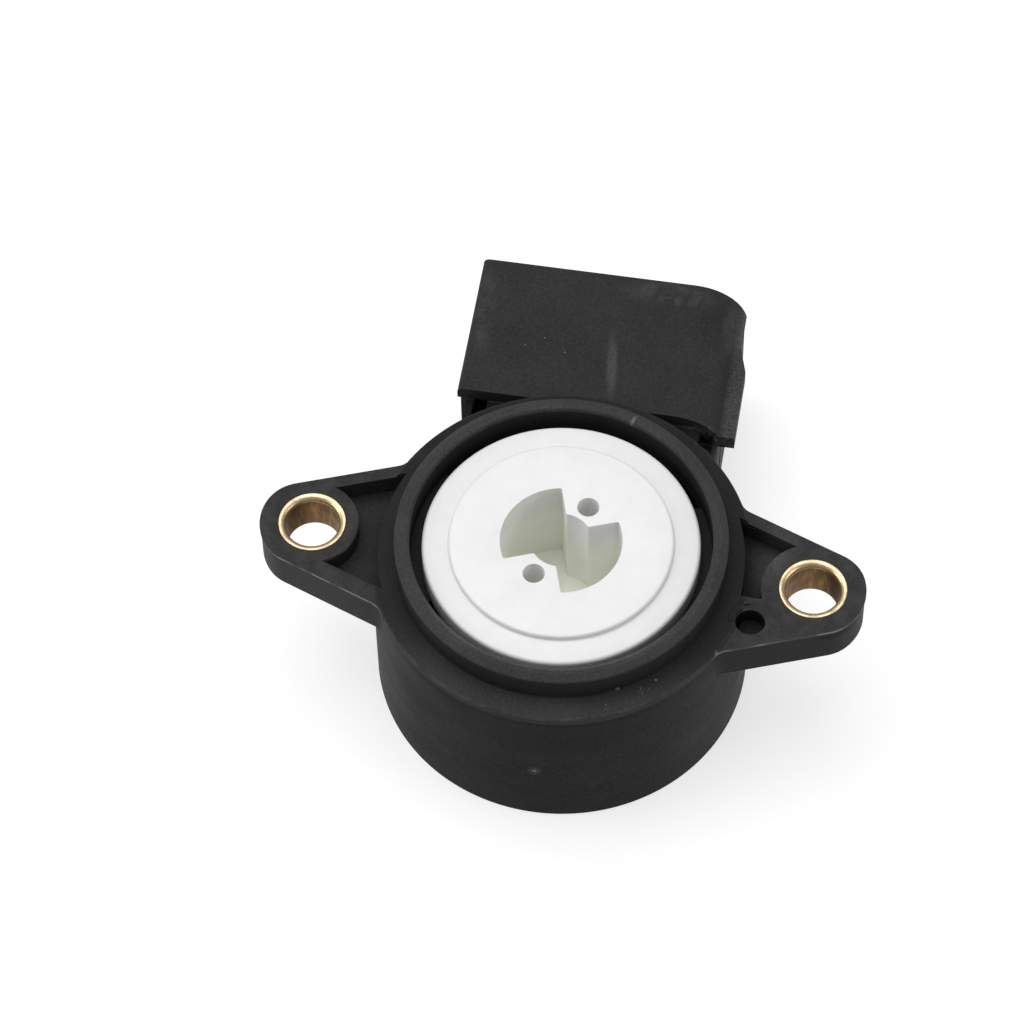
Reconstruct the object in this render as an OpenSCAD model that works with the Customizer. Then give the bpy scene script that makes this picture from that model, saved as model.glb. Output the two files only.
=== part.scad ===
// Throttle position sensor: round moulded body with two lugs, a plug socket on
// one side, and a white rotor that the throttle shaft turns against a spring.
// The origin is on the rotor's axis, in the face that sits on the throttle body.
// +Z points out of that face, +X along the two mounting holes and +Y to the plug.

/* [Flange and spigot] */
// Distance between the two mounting holes
hole_spacing = 55; // [52:0.5:60]
// Outer radius of the round flange
flange_r = 20.75; // [20.2:0.05:22]
// Thickness of the round flange
flange_h = 2.2; // [1.6:0.1:3]
// Outer radius of the spigot that centres the sensor
spigot_r = 18.1; // [17.8:0.05:18.6]
// Height of the spigot above the flange face
spigot_h = 3.7; // [3.2:0.1:4.4]
// Wall of the spigot
spigot_wall = 1.7; // [1.4:0.05:2]
// Radial width of the lead-in chamfer on the spigot
lead_in_w = 0.8; // [0.3:0.1:1]
// Height of the lead-in chamfer on the spigot
lead_in_h = 0.5; // [0.3:0.1:1]

/* [Body] */
// Depth of the body behind the flange face
body_depth = 21.1; // [19.8:0.1:24]
// How far the flange stands out beyond the round body
flange_lip = 0.1; // [0.1:0.1:0.8]
// Chamfer round the back edge of the body
back_chamfer = 0.2; // [0.2:0.1:0.8]
// Depth of the front well that the rotor and its spring lie in
well_depth = 9.2; // [8.6:0.1:9.6]
// Thickness of the wall that carries the rotor
web_t = 2; // [1.6:0.1:2.2]
// Height of the bearing boss above that wall
boss_h = 3; // [2:0.1:3.4]
// Wall of the bearing boss
boss_wall = 1.8; // [1.4:0.1:2]
// Wall round the rear chamber
chamber_wall = 3.5; // [3:0.1:4]

/* [Lugs] */
// Radius of the lug's round end
lug_r = 5.75; // [5.4:0.05:6.5]
// Angle of the lug's straight edges to the line of the holes
lug_angle = 20.4; // [16:0.2:23]
// How far the lug's face lies below the flange face
lug_drop = 0.3; // [0.1:0.1:1]
// Thickness of the lugs
lug_h = 5.1; // [4:0.1:6]
// Height of the upper band of the lug's edge, above the parting line
band_h = 0.4; // [0.2:0.1:1.2]
// How far the lug's edge steps in below the parting line
band_step = 0.1; // [0.05:0.05:0.4]
// Radius that joins the lug's edge to the flange
lug_fillet = 2; // [1:0.25:4]
// Depth of the pockets that lighten the lugs
pocket_depth = 2.6; // [1.5:0.1:3]
// Wall between the pocket and the lug's rear edge
rear_rib = 1.4; // [1:0.1:2]
// Wall between the pocket and the lug's front edge
front_rib = 1.9; // [1.2:0.1:2.4]
// Wall left round the left bush at its pocket
left_boss_wall = 1.35; // [1.2:0.05:1.6]
// Wall left round the right bush at its pocket
right_boss_wall = 1.9; // [1.6:0.05:2.2]
// Radius of the blind locating hole in the right lug
dowel_r = 1.65; // [1:0.05:1.8]
// Depth of the blind locating hole
dowel_depth = 2.4; // [1.5:0.1:3]

/* [Bushes] */
// Radius of the bore for the mounting screw
bush_bore_r = 2.92; // [2.7:0.02:3]
// Wall of the brass bush
bush_wall = 0.8; // [0.7:0.02:1]
// How far each end of the bush stands out of its lug
bush_proud = 0.1; // [0.05:0.05:0.3]
// Chamfer in both ends of the bush's bore
bush_chamfer = 0.4; // [0.1:0.05:0.5]

/* [Rotor] */
// Gap between the rotor and the spigot
rotor_gap = 1.3; // [1:0.05:1.6]
// Height of the rotor's rim above the flange face
rim_z = 2.15; // [1.9:0.05:2.4]
// Height of the raised face above the rim
face_step = 0.65; // [0.4:0.05:0.8]
// Radius of the raised face
face_r = 12.2; // [11:0.1:13]
// Thickness of the rotor's disc under the rim
disc_t = 2.95; // [2.6:0.05:3.1]
// Radius of the drive socket
socket_r = 6.64; // [6.2:0.02:6.8]
// Depth of the drive socket
socket_depth = 12.5; // [10:0.1:13]
// Wall of the hub round the drive socket
hub_wall = 1.5; // [1.4:0.05:1.8]
// Angle of the drive lugs at rest, from the line of the holes
drive_angle = 64; // [0:1:180]
// Half angle between the sides of a drive lug
drive_half_angle = 43.4; // [36:0.2:46]
// Distance from the axis at which those sides would meet
drive_apex = 1.5; // [1.2:0.05:1.8]
// Radius of the clear middle of the socket
drive_clear_r = 3.35; // [3.2:0.05:3.6]
// Radius of the pin hole in each drive lug
pin_hole_r = 1.2; // [0.8:0.05:1.3]
// Distance of the pin holes from the axis
pin_ring_r = 5.12; // [5:0.02:5.2]
// Depth of the pin holes
pin_hole_depth = 5; // [3:0.5:8]
// Angle that the rotor can turn through
rotor_travel = 100; // [80:1:110]

/* [Spring and washers] */
// Diameter of the spring wire
wire_d = 1; // [0.8:0.05:1]
// Turns of the return spring
spring_turns = 3.25; // [2.25:1:3.25]
// Thickness of the wave washer
wave_t = 0.25; // [0.2:0.05:0.35]
// Room left for the wave washer
wave_room = 1; // [0.8:0.05:1.2]
// Thickness of the retaining ring
clip_t = 0.7; // [0.5:0.05:0.75]

/* [Contacts and board] */
// Gap between the disc that carries the wipers and the solder joints
carrier_gap = 1; // [0.8:0.1:1.4]
// Thickness of that disc
carrier_t = 1.5; // [1.3:0.1:1.6]
// Height of the wipers between the disc and the tracks
wiper_h = 1.6; // [1.4:0.1:1.7]
// Thickness of the wiper strip
wiper_t = 0.2; // [0.15:0.05:0.25]
// Thickness of the board
board_t = 1.2; // [1:0.1:1.4]
// Thickness of the printed tracks
track_t = 0.1; // [0.06:0.02:0.12]
// Depth of the recess for the back cover
cover_depth = 2.2; // [2:0.1:2.4]
// Thickness of the back cover
cover_t = 1.6; // [1.4:0.1:1.8]
// Width of the sealing channel round the back cover
seal_w = 1; // [0.8:0.05:1.1]

/* [Plug socket] */
// Width of the socket
plug_w = 30.7; // [28:0.1:32]
// Height of the socket
plug_h = 15; // [14:0.2:15.6]
// Length of the socket from its overhanging edge to its mouth
plug_l = 17.9; // [16:0.2:22]
// Wall of the socket
plug_wall = 1.7; // [1.4:0.1:1.9]
// Offset of the socket's middle from the rotor's axis
plug_x = 0.4; // [-0.6:0.05:0.6]
// How far the socket's top lies below the flange face
plug_drop = 0.8; // [0.4:0.1:1.6]
// Radius of the large rounded edge of the socket
plug_round = 5; // [4:0.1:6]
// Radius of the other edges of the socket
plug_edge = 0.8; // [0.5:0.1:1.2]
// Spacing of the terminals
pin_pitch = 5; // [4.4:0.1:5.2]
// Width of a terminal blade
pin_w = 2.3; // [1.8:0.1:2.6]
// Thickness of a terminal
pin_t = 0.64; // [0.5:0.02:0.8]

/* [Hidden] */
$fn = 96;

// Clearances
fit = 0.05;
seat = 0.1;
loose = 0.4;
cut = 1;

// Body
hole_x = hole_spacing / 2;
barrel_r = flange_r - flange_lip;
well_r = spigot_r - spigot_wall;
chamber_r = barrel_r - chamber_wall;
ledge_w = 0.9;
board_seat_r = chamber_r + ledge_w;
cover_seat_r = board_seat_r + seal_w;
well_z = -well_depth;
web_z = well_z - web_t;
boss_z = well_z + boss_h;
back_z = -body_depth;
cover_z = back_z + cover_depth;
board_back_z = cover_z + seat;
board_z = board_back_z + board_t;
track_z = board_z + track_t;
board_hole_r = 3;
pin_foot_r = chamber_r - 1.1;
solder_r = 0.9;
solder_top_r = 0.7;
solder_h = 0.9;
cover_rim_w = 1.6;
cover_dish = 0.5;
cover_dot_r = 1.2;
cover_dot_h = 0.3;
seal_drop = 0.2;

// Lugs
lug_z = -lug_drop;
lug_back_z = lug_z - lug_h;
lug_n = [sin(lug_angle), cos(lug_angle)];
lug_u = [cos(lug_angle), -sin(lug_angle)];
edge_slip = 0.12;
lug_edge = lug_n[0] * hole_x + lug_r - edge_slip;
lug_foot_x = 12;
lug_foot_y = 4;
lug_join = 0.5;
dowel_x = 21.35;
dowel_y = -5.1;
dowel_wall = 1.3;
pocket_in = 0.85;
pocket_in_r = flange_r - pocket_in;

// Bushes
bush_r = bush_bore_r + bush_wall;
bush_edge = 0.15;
bush_top_z = lug_z + bush_proud;
bush_back_z = lug_back_z - bush_proud;

// Rotor
rotor_r = well_r - rotor_gap;
face_z = rim_z + face_step;
disc_z = rim_z - disc_t;
socket_z = face_z - socket_depth;
hub_r = socket_r + hub_wall;
bearing_r = hub_r + fit;
boss_r = bearing_r + boss_wall;
shoulder_r = hub_r + 1.2;
shoulder_z = boss_z + wave_room;
clip_z = web_z - seat;
clip_groove = 0.8;
clip_r = hub_r + 1.5;
carrier_back_z = track_z + fit + wiper_h;
carrier_z = carrier_back_z + carrier_t;
carrier_r = pin_foot_r - solder_r - carrier_gap;
carrier_notch_r = 1.4;
carrier_notch_in = 2.6;
key_r = 5;
key_flat = 7.4;
key_chamfer = 0.3;

// Stops for the rotor, and the tab on it that meets them
wire_r = wire_d / 2;
coil_r = boss_r + loose + wire_r;
stop_gap = 1;
tab_half = 9;
tab_angle = 200;
stop_half = 5;
tab_gap = 0.9;
tab_in_r = coil_r + wire_r + tab_gap;
tab_out_r = rotor_r - 0.2;
tab_h = 3;
stop_in_r = tab_in_r + 0.3;
stop_top_z = disc_z - 0.6;

// Wipers, their stakes and the tracks under them
stake_r = 0.5;
stake_h = 0.2;
stake_play = 0.1;
track_w = 2;
track_pitch = 4;
track_in = 0.8;
track_mid_r = carrier_r - track_in - track_w / 2;
collector_mid_r = track_mid_r - track_pitch;
wiper_base_l = 2.4;
finger_w = 0.4;
finger_gap = 0.6;
finger_l = 3.6;
finger_drop = wiper_h - wiper_t;
clip_open_half = 22;
track_over = 8;
collector_start = -20;
collector_sweep = 340;
idle_angle = 190;
idle_half = 14;

// Return spring
coil_pitch = wire_d + 0.15;
coil_z = well_z + seat + wire_r;
fixed_leg_angle = 0;
free_leg_angle = fixed_leg_angle + 360 * spring_turns;
fixed_leg_l = 2.6;
free_leg_top = disc_z + 0.7;
slot_depth = 1.2;
slot_half = wire_r + 0.25;
slot_end = 4;
post_r = 0.7;
post_h = 2.2;

// Plug socket
plug_small_in = 0.3;
plug_large_in = 0.6;
plug_key_r = 0.7;
plug_key_l = plug_l - 5;
latch_rail_x = 5.6;
latch_rail_w = 1.4;
latch_rail_in = 4;
latch_h = 1.4;
latch_w = 6;
latch_l = 4.4;
latch_top_l = 0.8;
latch_in = 7;
latch_root = 0.4;
neck_pocket_w = 1.5;
neck_pocket_l = 4;
neck_pocket_y = 18;
neck_left_rib = 0.9;
neck_right_rib = 0.9;
plug_top_z = -plug_drop;
plug_base_z = plug_top_z - plug_h;
plug_near_y = 20.1;
plug_mouth_y = plug_near_y + plug_l;
plug_left_x = plug_x - plug_w / 2;
plug_right_x = plug_x + plug_w / 2;
plug_back_t = 1.6;
plug_floor_y = plug_near_y + 3.4;
neck_in = 1;
plug_low_in = 0.7;
neck_y = 14;
rail_w = 0.5;
rail_h = 2;
rail_top_z = plug_top_z - 2.9;
rail_l = 9;
rail_ramp = 3;
pin_z = (plug_top_z + plug_base_z) / 2;
pin_count = 4;
pin_tip_y = plug_mouth_y - 4;
pin_tail_w = 1.2;
pin_drop_z = web_z - 3;
pin_bend_y = plug_floor_y - 1.2;
pin_tip_l = 1.2;

function pin_x(i) = plug_x + (i - (pin_count - 1) / 2) * pin_pitch;
function pin_foot_y(i) = sqrt(pow(pin_foot_r, 2) - pow(pin_x(i), 2));
function on_circle(r, a) = [r * cos(a), r * sin(a)];

// Wedge from the axis between two angles, reaching past radius r
module wedge(r, a0, a1) {
    steps = max(2, ceil((a1 - a0) / 40));
    reach = r / cos((a1 - a0) / steps / 2) + cut;
    polygon(concat([[0, 0]], [for (i = [0:steps]) on_circle(reach, a0 + (a1 - a0) * i / steps)]));
}

// Solid ring from z0 up to z1
module ring(r_out, r_in, z0, z1) {
    translate([0, 0, z0]) difference() {
        cylinder(r = r_out, h = z1 - z0);
        translate([0, 0, -cut]) cylinder(r = r_in, h = z1 - z0 + 2 * cut);
    }
}

// Part of a ring between two angles
module arc_bar(r_out, r_in, z0, z1, a0, a1) {
    intersection() {
        ring(r_out, r_in, z0, z1);
        translate([0, 0, z0 - cut]) linear_extrude(z1 - z0 + 2 * cut) wedge(r_out, a0, a1);
    }
}

module plate(x0, x1, y0, y1, z0, z1) {
    translate([x0, y0, z0]) cube([x1 - x0, y1 - y0, z1 - z0]);
}

// Height of the lug's straight edge at x, set in by e
function lug_y(x, e) = (lug_edge - e - lug_n[0] * x) / lug_n[1];

// Where that edge runs into the round end of the lug
function lug_tip_x(e) = lug_n[0] * (lug_edge - e) + lug_u[0] * lug_u[0] * hole_x;

// Straight-sided part of the right lug
module lug_web(foot_x, rear_e, front_e) {
    rear_x = lug_tip_x(rear_e);
    front_x = lug_tip_x(front_e);
    polygon([
        [foot_x, lug_y(foot_x, rear_e)], [rear_x, lug_y(rear_x, rear_e)],
        [front_x, -lug_y(front_x, front_e)], [foot_x, -lug_y(foot_x, front_e)]
    ]);
}

// Hollow corner that joins the rear edge of the right lug to the flange
module lug_corner(e) {
    height = lug_edge - e + lug_fillet;
    reach = flange_r - e + lug_fillet;
    centre = lug_n * height + lug_u * sqrt(pow(reach, 2) - pow(height, 2));
    difference() {
        polygon([
            centre * ((flange_r - e - lug_join) / reach), centre,
            centre - lug_n * (lug_fillet + lug_join), [lug_foot_x, lug_foot_y]
        ]);
        translate(centre) circle(r = lug_fillet + fit);
    }
}

// Outline of the right lug, set in by e
module lug_outline(e) {
    translate([hole_x, 0]) circle(r = lug_r - e);
    lug_web(lug_foot_x, e, e);
    lug_corner(e);
    mirror([0, 1]) lug_corner(e);
}

// Both lugs as one shape on the left and one on the right
module on_both_sides() {
    children();
    mirror([1, 0]) children();
}

module lug_body() {
    translate([0, 0, lug_z - band_h]) linear_extrude(band_h) on_both_sides() lug_outline(0);
    translate([0, 0, lug_back_z]) linear_extrude(lug_h - band_h)
        on_both_sides() lug_outline(band_step);
}

// Pocket that lightens the left lug
module left_pocket() {
    translate([0, 0, lug_z - pocket_depth]) linear_extrude(pocket_depth + cut) difference() {
        mirror([1, 0]) lug_web(lug_foot_x, rear_rib, front_rib);
        circle(r = pocket_in_r);
        translate([-hole_x, 0]) circle(r = bush_r + left_boss_wall);
    }
}

// Pocket in the rear half of the right lug, above the locating hole
module right_pocket() {
    translate([0, 0, lug_z - pocket_depth]) linear_extrude(pocket_depth + cut) difference() {
        intersection() {
            lug_web(lug_foot_x, rear_rib, front_rib);
            translate([lug_foot_x, dowel_y + dowel_r + dowel_wall]) square(hole_x);
        }
        circle(r = pocket_in_r);
        translate([hole_x, 0]) circle(r = bush_r + right_boss_wall);
    }
}

// Section of the plug socket in X and Z, set in by e: one large round at the top right
module plug_section(e) {
    small = max(plug_edge - e, plug_small_in);
    large = max(plug_round - e, plug_large_in);
    x0 = plug_left_x + e;
    x1 = plug_right_x - e;
    z0 = plug_base_z + e;
    z1 = plug_top_z - e;
    difference() {
        translate([x0, z0]) square([x1 - x0, z1 - z0]);
        translate([x1 - large, z1 - large]) difference() {
            square(large + cut);
            circle(r = large);
        }
        for (c = [[x0, z0, 1, 1], [x0, z1, 1, -1], [x1, z0, -1, 1]])
            translate([c[0] + c[2] * small, c[1] + c[3] * small]) difference() {
                translate([c[2] > 0 ? -small - cut : 0, c[3] > 0 ? -small - cut : 0])
                    square(small + cut);
                circle(r = small);
            }
    }
}

// Stretch of that section from y0 to y1
module plug_stretch(e, y0, y1) {
    translate([0, y1, 0]) rotate([90, 0, 0]) linear_extrude(y1 - y0) plug_section(e);
}

// Rail on the right wall of the socket, with a ramp at its far end
module plug_rail() {
    y_end = plug_near_y + rail_l;
    translate([0, 0, rail_top_z - rail_h]) linear_extrude(rail_h) polygon([
        [plug_right_x - plug_wall / 2, plug_near_y], [plug_right_x + rail_w, plug_near_y],
        [plug_right_x + rail_w, y_end], [plug_right_x, y_end + rail_ramp],
        [plug_right_x - plug_wall / 2, y_end + rail_ramp]
    ]);
}

// Ramp and side rails under the socket, which hold the plug's latch
module plug_latch() {
    latch_y = plug_mouth_y - latch_in;
    for (side = [-1, 1]) {
        x = plug_x + side * latch_rail_x;
        plate(x - latch_rail_w / 2, x + latch_rail_w / 2, plug_near_y + latch_rail_in, plug_mouth_y,
            plug_base_z - latch_h, plug_base_z + latch_root);
    }
    translate([plug_x - latch_w / 2, 0, 0]) rotate([90, 0, 90]) linear_extrude(latch_w) polygon([
        [latch_y, plug_base_z + latch_root], [latch_y, plug_base_z - latch_h],
        [latch_y + latch_top_l, plug_base_z - latch_h], [latch_y + latch_l, plug_base_z],
        [latch_y + latch_l, plug_base_z + latch_root]
    ]);
}

// Neck between the body and the socket, with its lightening pockets under the overhang
module neck() {
    difference() {
        plate(plug_left_x + neck_in, plug_right_x - plug_low_in, neck_y, plug_floor_y,
            plug_base_z + neck_in, plug_top_z - plug_wall);
        for (x = [
            plug_left_x + neck_in + neck_left_rib,
            plug_right_x - plug_low_in - neck_right_rib - neck_pocket_w
        ])
            plate(x, x + neck_pocket_w, neck_pocket_y, neck_pocket_y + neck_pocket_l,
                rail_top_z - rail_h, plug_top_z);
    }
}

module plug_shell() {
    difference() {
        union() {
            difference() {
                plug_stretch(0, plug_near_y, plug_mouth_y);
                plate(plug_left_x - cut, plug_x, plug_near_y - cut, plug_floor_y - plug_back_t,
                    plug_base_z - cut, plug_top_z - plug_wall);
                plate(plug_x - cut, plug_right_x + cut, plug_near_y - cut,
                    plug_floor_y - plug_back_t, plug_base_z - cut, rail_top_z - rail_h);
                plug_stretch(plug_wall, plug_near_y - cut, plug_floor_y - plug_back_t);
                plate(plug_right_x - plug_low_in, plug_right_x + cut, plug_near_y - cut,
                    plug_mouth_y + cut, plug_base_z - cut, rail_top_z - rail_h);
            }
            plug_rail();
            plug_latch();
        }
        plug_stretch(plug_wall, plug_floor_y, plug_mouth_y + cut);
        for (x = [-1, 1])
            translate([plug_x + x * pin_pitch * 1.5, plug_mouth_y + cut, plug_base_z + plug_wall])
                rotate([90, 0, 0]) cylinder(r = plug_key_r, h = plug_key_l);
    }
}

// Path of one terminal: blade, bend in the neck, tail through the wall, foot on the board
module terminal_shape(i, grow) {
    x = pin_x(i);
    tail = pin_tail_w / 2 + grow;
    t = pin_t / 2 + grow;
    foot_y = pin_foot_y(i);
    blade_end = plug_floor_y + cut / 2;
    plate(x - pin_w / 2 - grow, x + pin_w / 2 + grow, blade_end - 2 - grow, pin_tip_y,
        pin_z - t, pin_z + t);
    plate(x - tail, x + tail, pin_bend_y - t, blade_end, pin_z - t, pin_z + t);
    plate(x - tail, x + tail, pin_bend_y - t, pin_bend_y + t, pin_drop_z - t, pin_z + t);
    plate(x - tail, x + tail, foot_y - t, pin_bend_y + t, pin_drop_z - t, pin_drop_z + t);
    plate(x - tail, x + tail, foot_y - t, foot_y + t, track_z + (grow > 0 ? -cut : fit),
        pin_drop_z + t);
}

// Stop for the rotor's tab, from angle a0 to angle a1
module rotor_stop(a0, a1) {
    arc_bar(well_r + cut, stop_in_r, well_z - cut, stop_top_z, a0, a1);
}

module housing() {
    color([0.09, 0.09, 0.10]) difference() {
        union() {
            translate([0, 0, -flange_h]) cylinder(r = flange_r, h = flange_h);
            translate([0, 0, back_z + back_chamfer])
                cylinder(r = barrel_r, h = body_depth - flange_h - back_chamfer);
            translate([0, 0, back_z])
                cylinder(r1 = barrel_r - back_chamfer, r2 = barrel_r, h = back_chamfer);
            cylinder(r = spigot_r, h = spigot_h - lead_in_h);
            translate([0, 0, spigot_h - lead_in_h])
                cylinder(r1 = spigot_r, r2 = spigot_r - lead_in_w, h = lead_in_h);
            lug_body();
            neck();
            plug_shell();
        }
        translate([0, 0, well_z]) cylinder(r = well_r, h = well_depth + spigot_h + cut);
        translate([0, 0, board_z]) cylinder(r = chamber_r, h = web_z - board_z);
        translate([0, 0, cover_z]) cylinder(r = board_seat_r, h = board_z - cover_z);
        translate([0, 0, back_z - cut]) cylinder(r = cover_seat_r, h = cover_depth + cut);
        translate([0, 0, web_z - cut]) cylinder(r = bearing_r, h = web_t + 2 * cut);
        left_pocket();
        right_pocket();
        translate([dowel_x, dowel_y, lug_z - dowel_depth]) cylinder(r = dowel_r, h = dowel_depth + cut);
        for (x = [-hole_x, hole_x])
            translate([x, 0, lug_back_z - cut]) cylinder(r = bush_r + fit, h = lug_h + 2 * cut);
        for (i = [0:pin_count - 1]) terminal_shape(i, fit);
    }
    color([0.09, 0.09, 0.10]) housing_well();
}

// Bearing boss, stops and spring post, standing in the front well
module housing_well() {
    ring(boss_r, bearing_r, well_z, boss_z);
    rotor_stop(tab_angle - tab_half - stop_gap - 2 * stop_half, tab_angle - tab_half - stop_gap);
    rotor_stop(
        tab_angle + tab_half + rotor_travel + stop_gap,
        tab_angle + tab_half + rotor_travel + stop_gap + 2 * stop_half
    );
    rotate([0, 0, fixed_leg_angle])
        translate([coil_r + fixed_leg_l - post_r, wire_r + post_r + fit, well_z - cut])
            cylinder(r = post_r, h = post_h + cut);
}

module bush(x) {
    length = bush_top_z - bush_back_z;
    color([0.80, 0.62, 0.34]) translate([x, 0, bush_back_z]) difference() {
        union() {
            cylinder(r1 = bush_r - bush_edge, r2 = bush_r, h = bush_edge);
            translate([0, 0, bush_edge]) cylinder(r = bush_r, h = length - 2 * bush_edge);
            translate([0, 0, length - bush_edge])
                cylinder(r1 = bush_r, r2 = bush_r - bush_edge, h = bush_edge);
        }
        translate([0, 0, -cut]) cylinder(r = bush_bore_r, h = length + 2 * cut);
        translate([0, 0, length - bush_chamfer])
            cylinder(r1 = bush_bore_r, r2 = bush_bore_r + bush_chamfer, h = bush_chamfer);
        cylinder(r1 = bush_bore_r + bush_chamfer, r2 = bush_bore_r, h = bush_chamfer);
    }
}

module left_bush() { bush(-hole_x); }
module right_bush() { bush(hole_x); }

// One drive lug in the socket: two straight sides, and a hollow end round the clear middle
module drive_lug() {
    reach = socket_r + cut;
    half_w = (reach - drive_apex) * tan(drive_half_angle);
    intersection() {
        circle(r = socket_r + fit);
        difference() {
            polygon([[drive_apex, 0], [reach, half_w], [reach, -half_w]]);
            circle(r = drive_clear_r);
        }
    }
}

module drive_socket() {
    translate([0, 0, socket_z]) difference() {
        cylinder(r = socket_r, h = socket_depth + cut);
        translate([0, 0, -cut]) linear_extrude(socket_depth + 3 * cut)
            for (a = [0, 180]) rotate(drive_angle + a) drive_lug();
    }
    for (a = [0, 180]) rotate(drive_angle + a)
        translate([pin_ring_r, 0, face_z - pin_hole_depth])
            cylinder(r = pin_hole_r, h = pin_hole_depth + cut);
}

// Curved slot under the disc, in which the spring's free leg stands clear of the rotor
module spring_slot() {
    arc_bar(
        coil_r + slot_half, coil_r - slot_half, disc_z - cut, disc_z + slot_depth,
        free_leg_angle - rotor_travel - slot_end, free_leg_angle + slot_end
    );
}

module rotor() {
    color([0.93, 0.93, 0.93]) difference() {
        union() {
            translate([0, 0, disc_z]) cylinder(r = rotor_r, h = disc_t);
            translate([0, 0, rim_z]) cylinder(r = face_r, h = face_step);
            translate([0, 0, shoulder_z]) cylinder(r = shoulder_r, h = disc_z - shoulder_z);
            translate([0, 0, carrier_z]) cylinder(r = hub_r, h = disc_z - carrier_z);
            rotor_key(0, carrier_back_z, carrier_z + cut);
            arc_bar(tab_out_r, tab_in_r, disc_z - tab_h, disc_z + cut,
                tab_angle - tab_half, tab_angle + tab_half);
        }
        drive_socket();
        spring_slot();
        ring(hub_r + cut, hub_r - clip_groove, clip_z - clip_t - fit, clip_z + fit);
    }
}

// Round end of the hub with two flats, or the hole that fits it
module rotor_key(grow, z0, z1) {
    translate([0, 0, z0]) intersection() {
        cylinder(r = key_r + grow, h = z1 - z0);
        translate([0, 0, (z1 - z0) / 2])
            cube([2 * key_r + cut, key_flat + 2 * grow, z1 - z0 + cut], center = true);
    }
}

// Points of the wire's middle: fixed leg, coil, free leg
function coil_point(a) =
    concat(on_circle(coil_r, fixed_leg_angle + a), coil_z + coil_pitch * a / 360);
function wire_path() = concat(
    [concat(on_circle(coil_r + fixed_leg_l, fixed_leg_angle), coil_z)],
    [concat(on_circle(coil_r + wire_r, fixed_leg_angle), coil_z)],
    [for (a = [15:15:360 * spring_turns - 15]) coil_point(a)],
    [concat(on_circle(coil_r, free_leg_angle), coil_point(360 * spring_turns).z + wire_r)],
    [concat(on_circle(coil_r, free_leg_angle), free_leg_top)]
);

// Tube of round section swept along a path, with each ring square to its stretch
module wire(path, r, sides) {
    n = len(path);
    function aim(i) = path[min(i + 1, n - 1)] - path[max(i - 1, 0)];
    function unit(v) = v / norm(v);
    function across(i) = unit(cross(aim(i), [path[i].y, -path[i].x, 0.001]));
    function other(i) = unit(cross(aim(i), across(i)));
    points = [
        for (i = [0:n - 1]) for (k = [0:sides - 1])
            path[i] + r * (cos(360 * k / sides) * across(i) + sin(360 * k / sides) * other(i))
    ];
    faces = concat(
        [[for (k = [sides - 1:-1:0]) k]],
        [
            for (i = [0:n - 2]) for (k = [0:sides - 1])
                [i * sides + k, i * sides + (k + 1) % sides,
                 (i + 1) * sides + (k + 1) % sides, (i + 1) * sides + k]
        ],
        [[for (k = [0:sides - 1]) (n - 1) * sides + k]]
    );
    polyhedron(points, faces);
}

module return_spring() {
    color([0.72, 0.73, 0.75]) wire(wire_path(), wire_r, 8);
}

// Wavy ring between the bearing boss and the rotor's shoulder
module wave_washer() {
    waves = 3;
    steps = 36;
    swing = (wave_room - wave_t - 2 * seat) / 2;
    mid_z = boss_z + wave_room / 2;
    r_in = bearing_r + seat;
    r_out = boss_r - seat;
    function level(i) = mid_z + swing * cos(360 * waves * i / steps);
    points = [
        for (i = [0:steps - 1]) for (c = [[r_in, -1], [r_out, -1], [r_out, 1], [r_in, 1]])
            concat(on_circle(c[0], 360 * i / steps), level(i) + c[1] * wave_t / 2)
    ];
    faces = [
        for (i = [0:steps - 1]) for (k = [0:3]) for (half = [0, 1])
            let (a = 4 * i + k, b = 4 * i + (k + 1) % 4,
                 c = 4 * ((i + 1) % steps) + (k + 1) % 4, d = 4 * ((i + 1) % steps) + k)
                half == 0 ? [a, c, b] : [a, d, c]
    ];
    color([0.70, 0.71, 0.73]) polyhedron(points, faces);
}

module retaining_ring() {
    color([0.45, 0.46, 0.48]) difference() {
        ring(clip_r, hub_r - clip_groove + fit, clip_z - clip_t, clip_z);
        translate([0, 0, clip_z - clip_t - cut]) linear_extrude(clip_t + 2 * cut)
            wedge(clip_r, -clip_open_half, clip_open_half);
    }
}

module wiper_carrier() {
    color([0.16, 0.15, 0.14]) {
        difference() {
            translate([0, 0, carrier_back_z]) cylinder(r = carrier_r, h = carrier_t);
            rotor_key(fit, carrier_back_z - cut, carrier_z + cut);
            for (a = [0, 180]) rotate(drive_angle + a)
                translate([0, carrier_r - carrier_notch_in, carrier_back_z - cut])
                    cylinder(r = carrier_notch_r, h = carrier_t + 2 * cut);
        }
        for (side = [-1, 1]) wiper_stakes(side, stake_r, carrier_back_z - wiper_t - stake_h, cut);
    }
}

// Heat stakes that hold one wiper, or the holes for them
module wiper_stakes(side, r, z0, over) {
    for (x = [collector_mid_r, track_mid_r])
        translate([side * x, side * -wiper_base_l / 2, z0])
            cylinder(r = r, h = carrier_back_z + over - z0);
}

// Bronze strip staked to the disc: a cross bar, and two groups of fingers that lean on the tracks
module wiper(side, fingers) {
    lean = asin((finger_drop - wiper_t / 2) / finger_l);
    rotate(side > 0 ? 0 : 180) difference() {
        union() {
            plate(collector_mid_r - track_w / 2, track_mid_r + track_w / 2,
                -wiper_base_l, wiper_t / 2, carrier_back_z - wiper_t, carrier_back_z);
            for (x = [collector_mid_r, track_mid_r]) for (i = [0:fingers - 1])
                translate([x + (i - (fingers - 1) / 2) * finger_gap, 0, carrier_back_z - wiper_t])
                    finger(finger_l, lean);
        }
        translate([0, 0, -wiper_t]) wiper_stakes(1, stake_r + stake_play, carrier_back_z - cut, cut);
    }
}

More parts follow.
